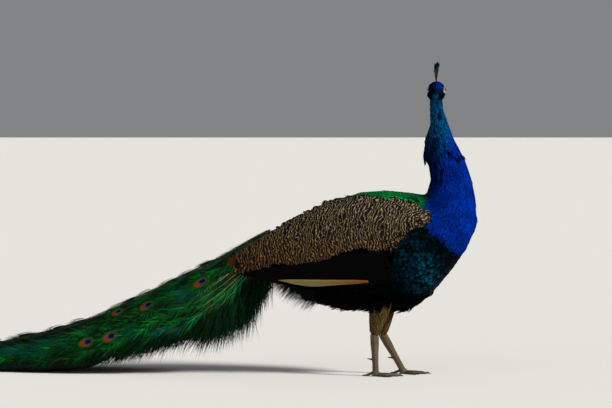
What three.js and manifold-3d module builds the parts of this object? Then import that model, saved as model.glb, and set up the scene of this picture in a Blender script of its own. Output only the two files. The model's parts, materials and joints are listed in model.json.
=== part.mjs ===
// An adult Indian peacock: it stands with its neck raised and its head turned to its left, and its
// folded train trails on the floor behind it. Millimetres, +Z up. The bird faces +X, its left is +Y.

import * as THREE from "three";
import { mergeVertices } from "three/addons/utils/BufferGeometryUtils.js";
import Module from "manifold-3d";

const wasm = await Module();
wasm.setup();

// ------------------------------------------------------------------------------ driving dimensions

const GAP = 0.4; // left between neighbouring pieces
const FAR = 3000; // larger than the bird, for cutting boxes
const LEFT = 1; // the side of a part, as the sign of its Y
const RIGHT = -1;

// Sections of the body from tail root to breast: x, back, belly, half width.
const TRUNK = [
  [-354, 430, 306, 40],
  [-250, 492, 254, 74],
  [-160, 544, 218, 94],
  [-70, 580, 208, 105],
  [0, 588, 204, 109],
  [65, 586, 208, 110],
  [130, 577, 219, 107],
  [200, 568, 294, 98],
  [260, 556, 369, 80],
  [318, 543, 456, 50],
];
const BREAST_END = 130; // the breast is in front of this x
const RUMP_START = -190; // and the rump behind this one
const FLANK_LINE = 395; // the back is above this height, and the belly below it

// Sections of the neck from its base up: z, x of the middle, depth, width.
const NECK = [
  [445, 196, 150, 120],
  [505, 221, 184, 148],
  [555, 225, 176, 132],
  [580, 228, 156, 118],
  [606, 230, 142, 106],
  [638, 226, 130, 96],
  [674, 215, 126, 88],
  [711, 202, 116, 79],
  [740, 194, 99, 68],
  [768, 191, 78, 57],
  [800, 191, 57, 50],
  [838, 183, 45, 44],
  [884, 180, 41, 40],
];
const NECK_CUTS = [640, 735]; // heights where the neck is divided

// The folded wing is a shell round the body: x, top, bottom, half width, from the tip to the shoulder.
const WING_SHELL = [
  [-510, 366, 290, 56],
  [-440, 406, 262, 80],
  [-380, 441, 240, 97],
  [-300, 485, 226, 110],
  [-200, 539, 216, 121],
  [-100, 584, 214, 127],
  [0, 594, 226, 129],
  [100, 582, 280, 119],
  [150, 568, 330, 105],
  [200, 550, 400, 80],
];
const SHELL_THICKNESS = 15;
const SLAB = 200; // how far a side outline is extruded
// The wings' inner edges run apart forwards, from this x and half gap, at this angle in degrees.
const WING_SPLIT = { x: -330, half: 20, angle: 8 };
// Side outlines of the wing's three layers, as x, z points.
const COVERTS = [
  [165, 508], [112, 530], [55, 558], [-2, 574], [-87, 582], [-150, 562], [-250, 508], [-360, 446],
  [-450, 394], [-496, 358], [-500, 338], [-478, 323], [-385, 330], [-317, 358], [-277, 358],
  [-209, 350], [-163, 366], [-89, 397], [-32, 411], [52, 400], [70, 420], [100, 464], [142, 474],
];
const SECONDARIES = [
  [66, 404], [30, 425], [-120, 430], [-300, 400], [-420, 352], [-450, 320], [-390, 306],
  [-323, 295], [-180, 290], [-50, 292], [30, 318],
];
const PRIMARIES = [
  [-44, 306], [-180, 308], [-326, 297], [-270, 280], [-209, 271], [-150, 273], [-86, 279],
];
const OUTLINE_POINTS = 30;
const LAYER_STEP = 4; // how far each deeper layer of the wing lies inside the one over it

// Sections of the train from its tip to its root on the rump: x, top, bottom, half width, and how
// far its underside rises in the middle, over the tail.
const TRAIN = [
  [-1346, 34, -6, 66, 0],
  [-1290, 64, -6, 96, 0],
  [-1238, 86, -7, 116, 0],
  [-1150, 105, -7, 134, 2],
  [-1060, 127, -7, 144, 6],
  [-970, 156, -7, 150, 12],
  [-880, 190, 8, 151, 20],
  [-780, 238, 40, 149, 30],
  [-680, 290, 70, 144, 34],
  [-580, 336, 88, 136, 34],
  [-500, 376, 118, 110, 30],
  [-430, 416, 166, 66, 22],
  [-380, 446, 222, 44, 12],
  [-320, 475, 360, 32, 0],
  [-240, 510, 436, 24, 0],
];
const TRAIN_CUTS = [-1090, -820, -540]; // the train is divided at these x
const RIDGE_HEIGHT = 3; // of the bundles of long feathers along its back
// The longest feathers, which end in eyes past the end of the train: tip x, tip y, heading in degrees.
const TRAIN_TIPS = [
  [-1420, 6, 0], [-1404, 48, 4], [-1396, -42, -5], [-1366, 88, 10], [-1358, -84, -11],
  [-1300, 122, 16], [-1292, -124, -17],
];
const EYE_FEATHER = {
  reach: 130, thick: 3, heights: [20, 8, 3], widths: [8, 12, 24, 22, 6], // half widths to the tip
};

// The true tail is a flat fan under the train: x, top, bottom, half width.
const TAIL = [
  [-720, 80, 70, 66],
  [-640, 104, 91, 80],
  [-560, 126, 110, 74],
  [-480, 158, 136, 62],
  [-400, 218, 192, 46],
  [-366, 264, 228, 36],
  [-336, 304, 270, 28],
];

// Head sections in the head's own frame, +X towards the bill: x, crown, chin, half width.
const HEAD = [
  [-36, 4, -26, 13],
  [-27, 22, -32, 24],
  [-10, 31, -31, 30],
  [6, 29, -25, 27],
  [18, 22, -18, 19],
  [27, 14, -13, 12.5],
  [34, 8, -9, 8.5],
];
const HEAD_AT = new THREE.Vector3(181, 9, 898);
const HEAD_TURN = 93; // degrees to the left of the way that the body faces
const EYE = { r: 6.6, x: 9, y: 20.6, z: 5 };
const BILL_UPPER = [
  [22, 9, -1.5, 8.5],
  [34, 8.6, -1.8, 7.8],
  [46, 5.6, -2.8, 5.6],
  [56, 0.2, -4.6, 3.4],
  [63, -6, -9, 1.2],
];
const BILL_LOWER = [
  [18, 2.5, -8.5, 7.6],
  [36, 2, -8.2, 6.6],
  [48, 0, -7.8, 4.4],
  [55, -3, -7.6, 2.2],
];
// The crest: a fan of bare shafts with webbed tips, every other one `step` longer.
const CREST = {
  root: [-6, 0, 26], rootR: 6, feathers: 11, spread: 62, lean: 12, length: 51, step: 5,
  shaft: [0.9, 0.7], shaftTip: [0.8, 0.6], web: 13, webHalf: [2.5, 0.65], join: 2,
};

// Each leg: its knee, hock and the middle of its foot. The left foot is the forward one.
const LEGS = {
  right: { side: RIGHT, knee: [22, -50, 276], hock: [-7, -50, 133], foot: [-3, -50, 14] },
  left: { side: LEFT, knee: [16, 50, 268], hock: [3, 50, 127], foot: [70, 50, 14] },
};
const SHANK = [[16, 11.5], [13.6, 9.8], [11.2, 8], [10, 7.4], [12, 10]]; // half depth, half width
const THIGH = [[48, 30], [40, 27], [30, 20], [18, 13]];
const HOCK_OVERLAP = 9; // how far the feathered thigh hangs over the hock
const SPUR = { at: 0.66, length: 17, inwards: 6, rise: 3, bend: 0.6, radii: [4, 2.6, 0.7] };
const PAD = { r: 15, height: 22, sink: 2, narrow: 0.9, ankle: 0.45 }; // the ankle as a share of its height
// Toes: name, heading in degrees away from the midline, length, half width at the root, claw.
const TOES = [
  { name: "inner", heading: -36, length: 56, r: 6.4, claw: 13 },
  { name: "middle", heading: 0, length: 74, r: 6.8, claw: 15 },
  { name: "outer", heading: 36, length: 58, r: 6.2, claw: 13 },
  { name: "hind", heading: 172, length: 32, r: 5, claw: 12 },
];
const HIND_RISE = 9; // the hind toe leaves the foot this much higher
const TOE = { start: 6, sink: 1.2, narrow: 0.9, bulges: [1.1, 0.92, 1.02, 0.86, 0.94, 0.72] };
// Claws, as shares of their toe's half width: height of the root and bend, [half depth, half width]
// there, and in millimetres the point's height and half sizes.
const CLAW = { height: 0.7, root: [0.5, 0.42], bend: [0.42, 0.34], pointZ: 1.3, point: [0.7, 0.6] };

const COLOURS = {
  blue: [0x0b2fa8, 0.45, 0.3],
  green: [0x12713f, 0.45, 0.3],
  barred: [0x8a7a62, 0.8, 0],
  black: [0x0b0f12, 0.6, 0],
  rufous: [0xb89a58, 0.7, 0],
  buff: [0x8b7a55, 0.85, 0],
  horn: [0x6f6557, 0.5, 0],
  eye: [0x1a0f08, 0.1, 0],
  tail: [0x3a3428, 0.8, 0],
};

// ------------------------------------------------------------------------------------- shape tools

// A closed three.js geometry as a manifold-3d solid that faces outwards.
function solid(geometry) {
  const bare = geometry.clone().deleteAttribute("normal").deleteAttribute("uv");
  const merged = mergeVertices(bare, 1e-4);
  const build = (triVerts) =>
    new wasm.Manifold(
      new wasm.Mesh({ numProp: 3, vertProperties: merged.attributes.position.array, triVerts }),
    );
  const made = build(new Uint32Array(merged.index.array));
  return made.volume() < 0 ? build(new Uint32Array(merged.index.array).reverse()) : made;
}

// The solid as a three.js geometry.
function geometryOf(made) {
  const mesh = made.getMesh();
  const geometry = new THREE.BufferGeometry();
  geometry.setAttribute("position", new THREE.BufferAttribute(mesh.vertProperties, 3));
  geometry.setIndex(new THREE.BufferAttribute(mesh.triVerts, 1));
  geometry.computeVertexNormals();
  return geometry;
}

// A capped cylinder whose points are moved by place(t along, angle round, r from the axis to the wall).
function tube(around, along, place) {
  const geometry = new THREE.CylinderGeometry(1, 1, 1, around, along);
  const position = geometry.attributes.position;
  for (let i = 0; i < position.count; i++) {
    const [x, y, z] = [position.getX(i), position.getY(i), position.getZ(i)];
    const moved = place(0.5 - y, Math.atan2(z, x), Math.min(1, Math.hypot(x, z)));
    position.setXYZ(i, moved.x, moved.y, moved.z);
  }
  return solid(geometry);
}

// A smooth function through rows of [position, value, value, ...].
function smooth(rows) {
  const at = new Float32Array(rows.map((row) => row[0]));
  const values = new Float32Array(rows.flatMap((row) => row.slice(1)));
  const through = new THREE.CubicInterpolant(at, values, rows[0].length - 1);
  return (where) => Array.from(through.evaluate(where));
}

// Cosine spacing, which puts more sections near the two rounded ends.
const eased = (from, to, t) => THREE.MathUtils.lerp(from, to, (1 - Math.cos(Math.PI * t)) / 2);

// 1 along a form, falling to nearly 0 in a dome over the last `reach` millimetres before its end.
function dome(distance, reach) {
  const missing = 1 - Math.min(1, distance / reach);
  return Math.sqrt(Math.max(0.004, 1 - missing * missing));
}

const power = (value, exponent) => Math.sign(value) * Math.abs(value) ** exponent;

// A form lofted along X through rows of [x, top, bottom, half width]. `wide` is the height of its
// widest line, `square` how boxy its section is, `grow` swells it on every side, and `ridge` raises
// every other line of points along its back.
function loft(rows, options = {}) {
  const {
    around = 24, along = 12, back = 30, front = 30, wide = 0.5, square = 0.9, grow = 0, ridge = 0,
  } = options;
  const at = smooth(rows);
  const ends = [rows[0][0] - grow, rows[rows.length - 1][0] + grow];
  return tube(around, along, (t, angle, r) => {
    const x = eased(ends[0], ends[1], t);
    const [top, bottom, half, arch = 0] = at(x);
    const shut = dome(x - ends[0], back) * dome(ends[1] - x, front) * r;
    const middle = bottom + (top - bottom) * wide;
    const rise = Math.sin(angle);
    const raised = rise > 0 ? ridge * Math.cos((around / 2) * angle) : 0;
    const y = (half + grow + raised) * power(Math.cos(angle), square);
    const reach = rise > 0 ? top - middle + grow + raised : middle - bottom + grow;
    const under = rise < 0 ? arch * (1 - (y / (half + grow)) ** 2) : 0;
    return new THREE.Vector3(x, y * shut, middle + (reach * power(rise, square) + under) * shut);
  });
}

// A limb along a smooth path: sizes are rows of [half depth, half width] from its start to its end.
// A blunt limb starts with a flat face, and `tip` is the least share of its width at its ends.
function limb(path, sizes, options = {}) {
  const {
    around = 8, along = 6, rounded = 0.12, side = new THREE.Vector3(0, 1, 0), grow = 0,
    blunt = false, tip = 0,
  } = options;
  const curve = new THREE.CatmullRomCurve3(path.map((p) => new THREE.Vector3(...p)));
  const at = smooth(sizes.map((size, i) => [i / (sizes.length - 1), ...size]));
  return tube(around, along, (t, angle, r) => {
    const share = eased(0, 1, t);
    const [depth, width] = at(share);
    const tangent = curve.getTangent(share);
    const across = side.clone().addScaledVector(tangent, -side.dot(tangent)).normalize();
    const forward = new THREE.Vector3().crossVectors(across, tangent);
    const ends = (blunt ? 1 : dome(share, rounded)) * dome(1 - share, rounded);
    const shut = Math.max(tip, ends) * r;
    return curve
      .getPoint(share)
      .addScaledVector(tangent, grow * (share > 0.5 ? 1 : -1))
      .addScaledVector(forward, (depth + grow) * Math.cos(angle) * shut)
      .addScaledVector(across, (width + grow) * Math.sin(angle) * shut);
  });
}

// A box from one corner to the other, as a solid.
function block(low, high) {
  const size = high.map((value, i) => value - low[i]);
  const geometry = new THREE.BoxGeometry(...size);
  geometry.translate(...low.map((value, i) => value + size[i] / 2));
  return solid(geometry);
}

const between = (axis, low, high) =>
  block(
    [-FAR, -FAR, -FAR].map((value, i) => (i === axis ? low : value)),
    [FAR, FAR, FAR].map((value, i) => (i === axis ? high : value)),
  );

const ball = (r, x, y, z, around = 10) =>
  solid(new THREE.SphereGeometry(r, around, Math.round(around / 2)).translate(x, y, z));

// A side outline through x, z points, pushed outwards by grow.
function outline(points, grow) {
  const through = points.map(([x, z]) => new THREE.Vector3(x, z, 0));
  const spaced = new THREE.CatmullRomCurve3(through, true).getSpacedPoints(OUTLINE_POINTS).slice(0, -1);
  const turn = THREE.ShapeUtils.isClockWise(spaced) ? 1 : -1;
  return new THREE.Shape(
    spaced.map((point, i) => {
      const next = spaced[(i + 1) % spaced.length];
      const last = spaced[(i + spaced.length - 1) % spaced.length];
      const way = next.clone().sub(last).normalize();
      return new THREE.Vector2(point.x - way.y * grow * turn, point.y + way.x * grow * turn);
    }),
  );
}

// The outline as a slab on one side of the bird, up to the inner edge of the folded wing.
function slab(points, side, grow) {
  const geometry = new THREE.ExtrudeGeometry(outline(points, grow), { depth: SLAB, bevelEnabled: false });
  geometry.rotateX(Math.PI / 2); // the outline's own y is now up, and its depth runs to -Y
  geometry.translate(0, side === RIGHT ? 0 : SLAB, 0);
  const [low, high] = side === RIGHT ? [-FAR, 0] : [0, FAR];
  const beside = block([-FAR, low, -FAR], [FAR, high, FAR])
    .rotate(0, 0, side * WING_SPLIT.angle)
    .translate(WING_SPLIT.x, side * (WING_SPLIT.half - grow), 0);
  return solid(geometry).intersect(beside);
}

// ------------------------------------------------------------------------------------------- parts

const bird = new THREE.Group();

// Adds a solid to a group as a named mesh.
function add(group, name, made, look) {
  const [color, roughness, metalness] = COLOURS[look];
  const material = new THREE.MeshStandardMaterial({ color, roughness, metalness });
  const mesh = new THREE.Mesh(geometryOf(made), material);
  mesh.name = name;
  group.add(mesh);
  return mesh;
}

const trunk = (grow = 0) =>
  loft(TRUNK, { around: 22, along: 13, back: 60, front: 52, wide: 0.52, grow });

function addTrunk() {
  const whole = trunk();
  const body = whole.intersect(between(0, RUMP_START + GAP, BREAST_END - GAP));
  add(bird, "breast", whole.intersect(between(0, BREAST_END, FAR)), "blue");
  add(bird, "back", body.intersect(between(2, FLANK_LINE + GAP, FAR)), "green");
  add(bird, "belly", body.intersect(between(2, -FAR, FLANK_LINE)), "black");
  add(bird, "rump", whole.intersect(between(0, -FAR, RUMP_START)), "green");
}

// The head's own frame, in the bird's.
const headGroup = new THREE.Group();
headGroup.position.copy(HEAD_AT);
headGroup.rotation.z = THREE.MathUtils.degToRad(HEAD_TURN);
headGroup.updateMatrix();
bird.add(headGroup);

const skull = (grow = 0) => loft(HEAD, { around: 14, along: 8, back: 16, front: 6, wide: 0.4, grow });

function addNeck() {
  const at = smooth(NECK);
  const [low, high] = [NECK[0][0], NECK[NECK.length - 1][0]];
  const whole = tube(14, 10, (t, angle, r) => {
    const z = THREE.MathUtils.lerp(low, high, t);
    const [x, depth, width] = at(z);
    const across = (r * width * Math.sin(angle)) / 2;
    return new THREE.Vector3(x + (r * depth * Math.cos(angle)) / 2, across, z);
  });
  const head = skull(GAP).transform(headGroup.matrix.elements);
  const free = whole.subtract(trunk(GAP)).subtract(head);
  const levels = [-FAR, ...NECK_CUTS, FAR];
  ["neck_lower", "neck_middle", "neck_upper"].forEach((name, i) => {
    add(bird, name, free.intersect(between(2, levels[i] + GAP, levels[i + 1])), "blue");
  });
}

function addHead() {
  const eyes = [LEFT, RIGHT].map((side) => (r) => ball(r, EYE.x, side * EYE.y, EYE.z));
  const sockets = eyes.map((eye) => eye(EYE.r + GAP));
  add(headGroup, "head", skull().subtract(sockets[0]).subtract(sockets[1]), "blue");
  add(headGroup, "eye_left", eyes[0](EYE.r), "eye");
  add(headGroup, "eye_right", eyes[1](EYE.r), "eye");
  const bill = { around: 8, along: 5, back: 4, front: 4, square: 0.7 };
  const upper = (grow) => loft(BILL_UPPER, { ...bill, grow });
  const lower = loft(BILL_LOWER, bill).subtract(upper(GAP));
  add(headGroup, "bill_upper", upper(0).subtract(skull(GAP)), "horn");
  add(headGroup, "bill_lower", lower.subtract(skull(GAP)), "horn");
}

// The crest's feathers lie in the head's median plane.
function addCrest() {
  const { root, rootR, feathers, spread, lean, length, step } = CREST;
  const { shaft, shaftTip, web, webHalf, join } = CREST;
  let crest = ball(rootR, ...root, 8);
  for (let i = 0; i < feathers; i++) {
    const angle = THREE.MathUtils.degToRad((i / (feathers - 1) - 0.5) * spread + lean);
    const out = (distance) => [
      root[0] - Math.sin(angle) * distance, 0, root[2] + Math.cos(angle) * distance,
    ];
    const bare = length + (i % 2) * step;
    const rod = { around: 4, along: 1, blunt: true };
    const vane = { around: 4, along: 2, rounded: 0.2 };
    const stem = [out(join), out(bare / 2), out(bare)];
    const end = [out(bare - join), out(bare + web / 2), out(bare + web)];
    crest = crest.add(limb(stem, [shaft, shaftTip], rod)).add(limb(end, [shaftTip, webHalf, shaftTip], vane));
  }
  add(headGroup, "crest", crest.subtract(skull(GAP)), "blue");
}

// One layer of a folded wing: the part of the shell inside its side outline.
function wingLayer(points, side, depth, grow = 0) {
  const options = { around: 20, along: 10, back: 26, front: 60, wide: 0.5, square: 0.8 };
  const moved = (by) => WING_SHELL.map(([x, top, low, half]) => [x, top - by, low + by, half - by]);
  const outer = loft(moved(depth), { ...options, grow });
  const inner = loft(moved(SHELL_THICKNESS), { ...options, grow: -grow });
  return outer.subtract(inner).intersect(slab(points, side, grow));
}

const largest = (made) =>
  made.decompose().reduce((best, piece) => (piece.volume() > best.volume() ? piece : best));

function addWing(side, name) {
  const coverts = (grow) => wingLayer(COVERTS, side, 0, grow);
  const secondaries = (grow) => wingLayer(SECONDARIES, side, LAYER_STEP, grow);
  const primaries = (grow) => wingLayer(PRIMARIES, side, 2 * LAYER_STEP, grow);
  const body = trunk(GAP);
  const over = coverts(GAP);
  const middle = secondaries(GAP);
  const free = (made) => largest(made.subtract(body));
  add(bird, `wing_coverts_${name}`, free(coverts(0)), "barred");
  add(bird, `secondaries_${name}`, free(secondaries(0).subtract(over)), "black");
  add(bird, `primaries_${name}`, free(primaries(0).subtract(over).subtract(middle)), "rufous");
  return over.add(middle).add(primaries(GAP));
}

// A long feather that ends in an eye, past the end of the train.
function eyeFeather([x, y, heading]) {
  const angle = THREE.MathUtils.degToRad(heading);
  const { reach, thick, heights, widths } = EYE_FEATHER;
  const path = heights.map((z, i) => {
    const back = reach * (1 - i / 2);
    return [x + back * Math.cos(angle), y - back * Math.sin(angle), z];
  });
  return limb(path, widths.map((half) => [thick, half]), { around: 4, along: 4, rounded: 0.06 });
}

function addTrain(wings) {
  const floor = between(2, -FAR, 0);
  const shape = { around: 24, along: 12, back: 46, front: 30, wide: 0.34, square: 0.86 };
  const tail = (grow) => loft(TAIL, { around: 12, along: 6, back: 20, front: 20, grow });
  let whole = loft(TRAIN, { ...shape, ridge: RIDGE_HEIGHT });
  for (const tip of TRAIN_TIPS) whole = whole.add(eyeFeather(tip));
  for (const cut of [floor, trunk(GAP), tail(GAP), ...wings]) whole = whole.subtract(cut);
  const levels = [-FAR, ...TRAIN_CUTS, FAR];
  ["train_end", "train_rear", "train_middle", "train_root"].forEach((name, i) => {
    const piece = whole.intersect(between(0, levels[i] + GAP, levels[i + 1]));
    add(bird, name, largest(piece), "green");
  });
  let fan = tail(0).subtract(trunk(GAP));
  for (const wing of wings) fan = fan.subtract(wing);
  add(bird, "tail", largest(fan), "tail");
}

const lerpPoint = (a, b, t) => a.map((value, i) => THREE.MathUtils.lerp(value, b[i], t));

// A toe in the foot's own frame, pointing along +X and sunk a little into the floor, which cuts its
// sole flat.
function toe({ length, r, name }, grow = 0) {
  const { start, sink, narrow, bulges } = TOE;
  const rise = name === "hind" ? HIND_RISE : 0;
  const tipR = r * bulges[bulges.length - 1];
  const path = [[start, 0, r + rise], [length / 2, 0, r - sink + rise / 2], [length, 0, tipR - sink]];
  const sizes = bulges.map((share) => [share * r, share * r * narrow]);
  return limb(path, sizes, { around: 6, along: 4, rounded: 0.06, grow, tip: 0.6 });
}

// A claw leaves its toe's end and bends down to a point just over the floor.
function claw({ length, r, claw: reach }) {
  const root = length + GAP;
  const z = r * CLAW.height;
  const path = [[root, 0, z], [root + reach / 2, 0, z], [root + reach, 0, CLAW.pointZ]];
  const sizes = [CLAW.root.map((share) => share * r), CLAW.bend.map((share) => share * r), CLAW.point];
  return limb(path, sizes, { around: 6, along: 3, rounded: 0.05, blunt: true });
}

function addLeg({ side, knee, hock, foot }, name) {
  const cuff = lerpPoint(hock, knee, -HOCK_OVERLAP / (knee[2] - hock[2]));
  const thigh = (grow) => limb([knee, lerpPoint(knee, cuff, 0.5), cuff], THIGH, { grow, around: 10 });
  const ankle = [foot[0], foot[1], PAD.height * PAD.ankle];
  const shank = (grow) => limb([hock, lerpPoint(hock, ankle, 0.5), ankle], SHANK, { grow, tip: 0.8 });
  const floor = between(2, -FAR, 0);
  const pad = solid(new THREE.SphereGeometry(1, 8, 6).scale(PAD.r, PAD.r * PAD.narrow, PAD.height / 2));

  const footGroup = new THREE.Group();
  footGroup.position.set(foot[0], foot[1], 0);
  footGroup.updateMatrix();
  bird.add(footGroup);
  let whole = pad.translate(0, 0, PAD.height / 2 - PAD.sink);
  for (const one of TOES) {
    const turn = side * one.heading;
    whole = whole.add(toe(one).rotate(0, 0, turn));
    const free = claw(one).subtract(floor).subtract(toe(one, GAP));
    const mesh = add(footGroup, `claw_${one.name}_${name}`, largest(free), "horn");
    mesh.rotation.z = THREE.MathUtils.degToRad(turn);
  }
  const feet = whole.subtract(floor).subtract(shank(GAP).translate(-foot[0], -foot[1], 0));
  add(footGroup, `foot_${name}`, largest(feet), "horn");
  add(bird, `shank_${name}`, shank(0).subtract(thigh(GAP)).subtract(floor), "horn");
  add(bird, `thigh_${name}`, thigh(0).subtract(trunk(GAP)), "buff");

  const root = lerpPoint(hock, ankle, SPUR.at);
  const back = SPUR.length + SHANK[2][0];
  const tip = [root[0] - back, root[1] - side * SPUR.inwards, root[2] + SPUR.rise];
  const spur = limb([root, lerpPoint(root, tip, SPUR.bend), tip], SPUR.radii.map((r) => [r, r]), {
    around: 6, along: 3, side: new THREE.Vector3(0, 0, 1),
  });
  add(bird, `spur_${name}`, largest(spur.subtract(shank(GAP))), "horn");
}

addTrunk();
addNeck();
addHead();
addCrest();
const wings = [addWing(LEFT, "left"), addWing(RIGHT, "right")];
addTrain(wings);
for (const [name, leg] of Object.entries(LEGS)) addLeg(leg, name);

// The origin is on the floor, under the middle of the bird's box.
bird.updateMatrixWorld(true);
const box = new THREE.Box3().setFromObject(bird, true);
const middle = box.getCenter(new THREE.Vector3());
bird.position.set(-middle.x, -middle.y, -box.min.z);

export default bird;
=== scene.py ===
# %% [markdown]
# # A peacock as a museum model, dressed in Blender
# The bird stands still on two feet with its train laid out behind it and its head turned away.
# Its solids come in as a fixed frame, in metres. Everything here goes over them: one smooth skin,
# then feathers of real mesh that lie along the body, then the train, the crest and the small
# hard pieces of the head and feet.

import bpy
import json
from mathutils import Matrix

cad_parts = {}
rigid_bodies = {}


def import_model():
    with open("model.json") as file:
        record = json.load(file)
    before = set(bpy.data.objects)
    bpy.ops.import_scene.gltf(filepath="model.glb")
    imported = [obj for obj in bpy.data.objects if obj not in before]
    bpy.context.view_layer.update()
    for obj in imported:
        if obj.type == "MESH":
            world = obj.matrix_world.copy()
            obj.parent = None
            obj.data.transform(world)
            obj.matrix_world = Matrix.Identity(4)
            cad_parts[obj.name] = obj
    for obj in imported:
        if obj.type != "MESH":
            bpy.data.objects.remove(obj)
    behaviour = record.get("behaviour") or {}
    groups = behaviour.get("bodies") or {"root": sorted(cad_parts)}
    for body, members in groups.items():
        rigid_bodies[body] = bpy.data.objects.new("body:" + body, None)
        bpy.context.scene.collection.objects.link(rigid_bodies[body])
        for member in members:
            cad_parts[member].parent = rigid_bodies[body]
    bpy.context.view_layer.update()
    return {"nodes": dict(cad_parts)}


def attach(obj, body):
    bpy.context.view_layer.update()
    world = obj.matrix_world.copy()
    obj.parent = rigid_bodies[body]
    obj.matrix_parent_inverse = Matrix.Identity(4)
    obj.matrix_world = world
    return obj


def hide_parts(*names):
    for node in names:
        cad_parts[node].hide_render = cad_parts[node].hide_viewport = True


for leftover in list(bpy.data.objects):
    bpy.data.objects.remove(leftover)
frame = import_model()
nodes = frame["nodes"]

# %% Tools for the rest of the lesson
import json
import math

import bmesh
import numpy as np
from mathutils import Matrix, Vector
from mathutils.bvhtree import BVHTree

scene = bpy.context.scene
BIRD_ORIGIN = np.array([551.007, -1.5, 0.0])


def at(*point):
    """A place measured on the bird in millimetres, as a place in the frame in metres."""
    return (np.array(point, float) + BIRD_ORIGIN) / 1000


def on_bird(places):
    """Places in the frame, in metres, as millimetres on the bird."""
    return np.asarray(places) * 1000 - BIRD_ORIGIN


def shade(red, green, blue):
    """A colour from three values of 0 to 255, as light."""
    return tuple(((c / 255 + 0.055) / 1.055) ** 2.4 if c > 10 else c / 3295 for c in (red, green, blue))


def ease(low, high, value):
    """0 below low, 1 above high, and a soft step between."""
    t = np.clip((value - low) / (high - low), 0, 1)
    return t * t * (3 - 2 * t)


def unit(vectors):
    """The same directions with a length of 1."""
    return vectors / np.maximum(np.linalg.norm(vectors, axis=-1, keepdims=True), 1e-9)


print("shoulder in the frame:", at(150, -100, 480))

# %% [markdown]
# ## Camera
# A long lens from ten metres, a little above the bird's back and ten degrees round towards its
# breast. A long lens keeps the near and the far leg almost the same size.

# %% Place the camera
AIM = Vector(at(-235, 1.5, 540))
ROUND, UP, DISTANCE = math.radians(10), math.radians(2.07), 10.0
lens = bpy.data.cameras.new("long_lens")
lens.sensor_width, lens.lens = 36.0, 185.3
lens.clip_start, lens.clip_end = 0.5, 60
camera = bpy.data.objects.new("camera", lens)
scene.collection.objects.link(camera)
away = Vector((math.sin(ROUND) * math.cos(UP), -math.cos(ROUND) * math.cos(UP), math.sin(UP)))
camera.location = AIM + away * DISTANCE
camera.rotation_euler = (-away).to_track_quat("-Z", "Y").to_euler()
scene.camera = camera
print("camera at", tuple(round(v, 3) for v in camera.location))

# %% [markdown]
# ## Floor and light
# A plain pale floor, one soft light high on the breast side, a weak and very wide one from the
# bird's right and a pale sky. Feathers need a light that has a side, or their overlaps don't show.

# %% Lay the floor and hang the lights
bpy.ops.mesh.primitive_plane_add(size=160, location=(0, 0, 0))
floor = bpy.context.object
floor.name = "floor"
scene.view_settings.view_transform = "Standard"
scene.view_settings.look = "None"
world = bpy.data.worlds.new("studio")
world.use_nodes = True
world.node_tree.nodes["Background"].inputs["Color"].default_value = (0.86, 0.88, 0.9, 1)
world.node_tree.nodes["Background"].inputs["Strength"].default_value = 0.26
scene.world = world


def soft_light(name, place, power, width, colour):
    """A far, even lamp, as wide as some degrees of the sky, that shines towards the bird."""
    lamp = bpy.data.lights.new(name, "SUN")
    lamp.energy, lamp.angle, lamp.color = power, math.radians(width), colour
    stand = bpy.data.objects.new(name, lamp)
    stand.location = place
    aim = Vector((0.3, 0, 0.4)) - Vector(place)
    stand.rotation_euler = aim.to_track_quat("-Z", "Y").to_euler()
    scene.collection.objects.link(stand)


soft_light("key_light", (4.0, -1.1, 3.0), 4.1, 14, (1, 0.95, 0.86))
soft_light("fill_light", (-1.5, -4.2, 2.6), 0.3, 60, (0.92, 0.96, 1))

# %% [markdown]
# ## Finishes
# Each finish is a small tree of nodes. A feather's finish takes its ground colour from a colour
# that each feather carries, so that the skin and the feathers over it have the same markings,
# and adds fine barbs, painted shade at the root where the feathers above lie over it and, on
# the back, a dark rim.

# %% A short way to add nodes


def add(tree, kind, inputs=None, **settings):
    """A new node with its settings made, and each input set or linked."""
    made = tree.nodes.new(kind)
    for name, value in settings.items():
        setattr(made, name, value)
    for key, value in (inputs or {}).items():
        socket = made.inputs[key]
        if isinstance(value, bpy.types.NodeSocket):
            tree.links.new(value, socket)
        else:
            socket.default_value = value
    return made


def reckon(tree, kind, *values):
    """One Math node's result."""
    return add(tree, "ShaderNodeMath", dict(enumerate(values)), operation=kind).outputs[0]


def times(tree, first, second):
    """A product of two values."""
    return reckon(tree, "MULTIPLY", first, second)


def ramp(tree, value, low, high, start=0.0, end=1.0):
    """A value of low to high turned into start to end, and held at the ends."""
    return add(tree, "ShaderNodeMapRange", {0: value, 1: low, 2: high, 3: start, 4: end}).outputs[0]


def blend_of(tree, amount, first, second):
    """Two colours mixed; each is a socket or red, green and blue."""
    mix = add(tree, "ShaderNodeMix", {0: amount}, data_type="RGBA")
    for key, value in ((6, first), (7, second)):
        if isinstance(value, bpy.types.NodeSocket):
            tree.links.new(value, mix.inputs[key])
        else:
            mix.inputs[key].default_value = (*value, 1)
    return mix.outputs[2]


def speckle(tree, place, scale, detail=2.0):
    """Noise from 0 to 1 that is fixed to the bird."""
    noise = add(tree, "ShaderNodeTexNoise", {"Vector": place, "Scale": scale, "Detail": detail})
    return noise.outputs["Fac"]


def own_tone(tree):
    """The colour that each feather or place of the skin carries."""
    return add(tree, "ShaderNodeAttribute", attribute_name="tone").outputs["Color"]


def vane_axes(tree):
    """A feather's own map: from its root to its tip, and across it."""
    vane = add(tree, "ShaderNodeUVMap", uv_map="vane").outputs[0]
    split = add(tree, "ShaderNodeSeparateXYZ", {0: vane})
    return split.outputs[0], split.outputs[1]


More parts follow.
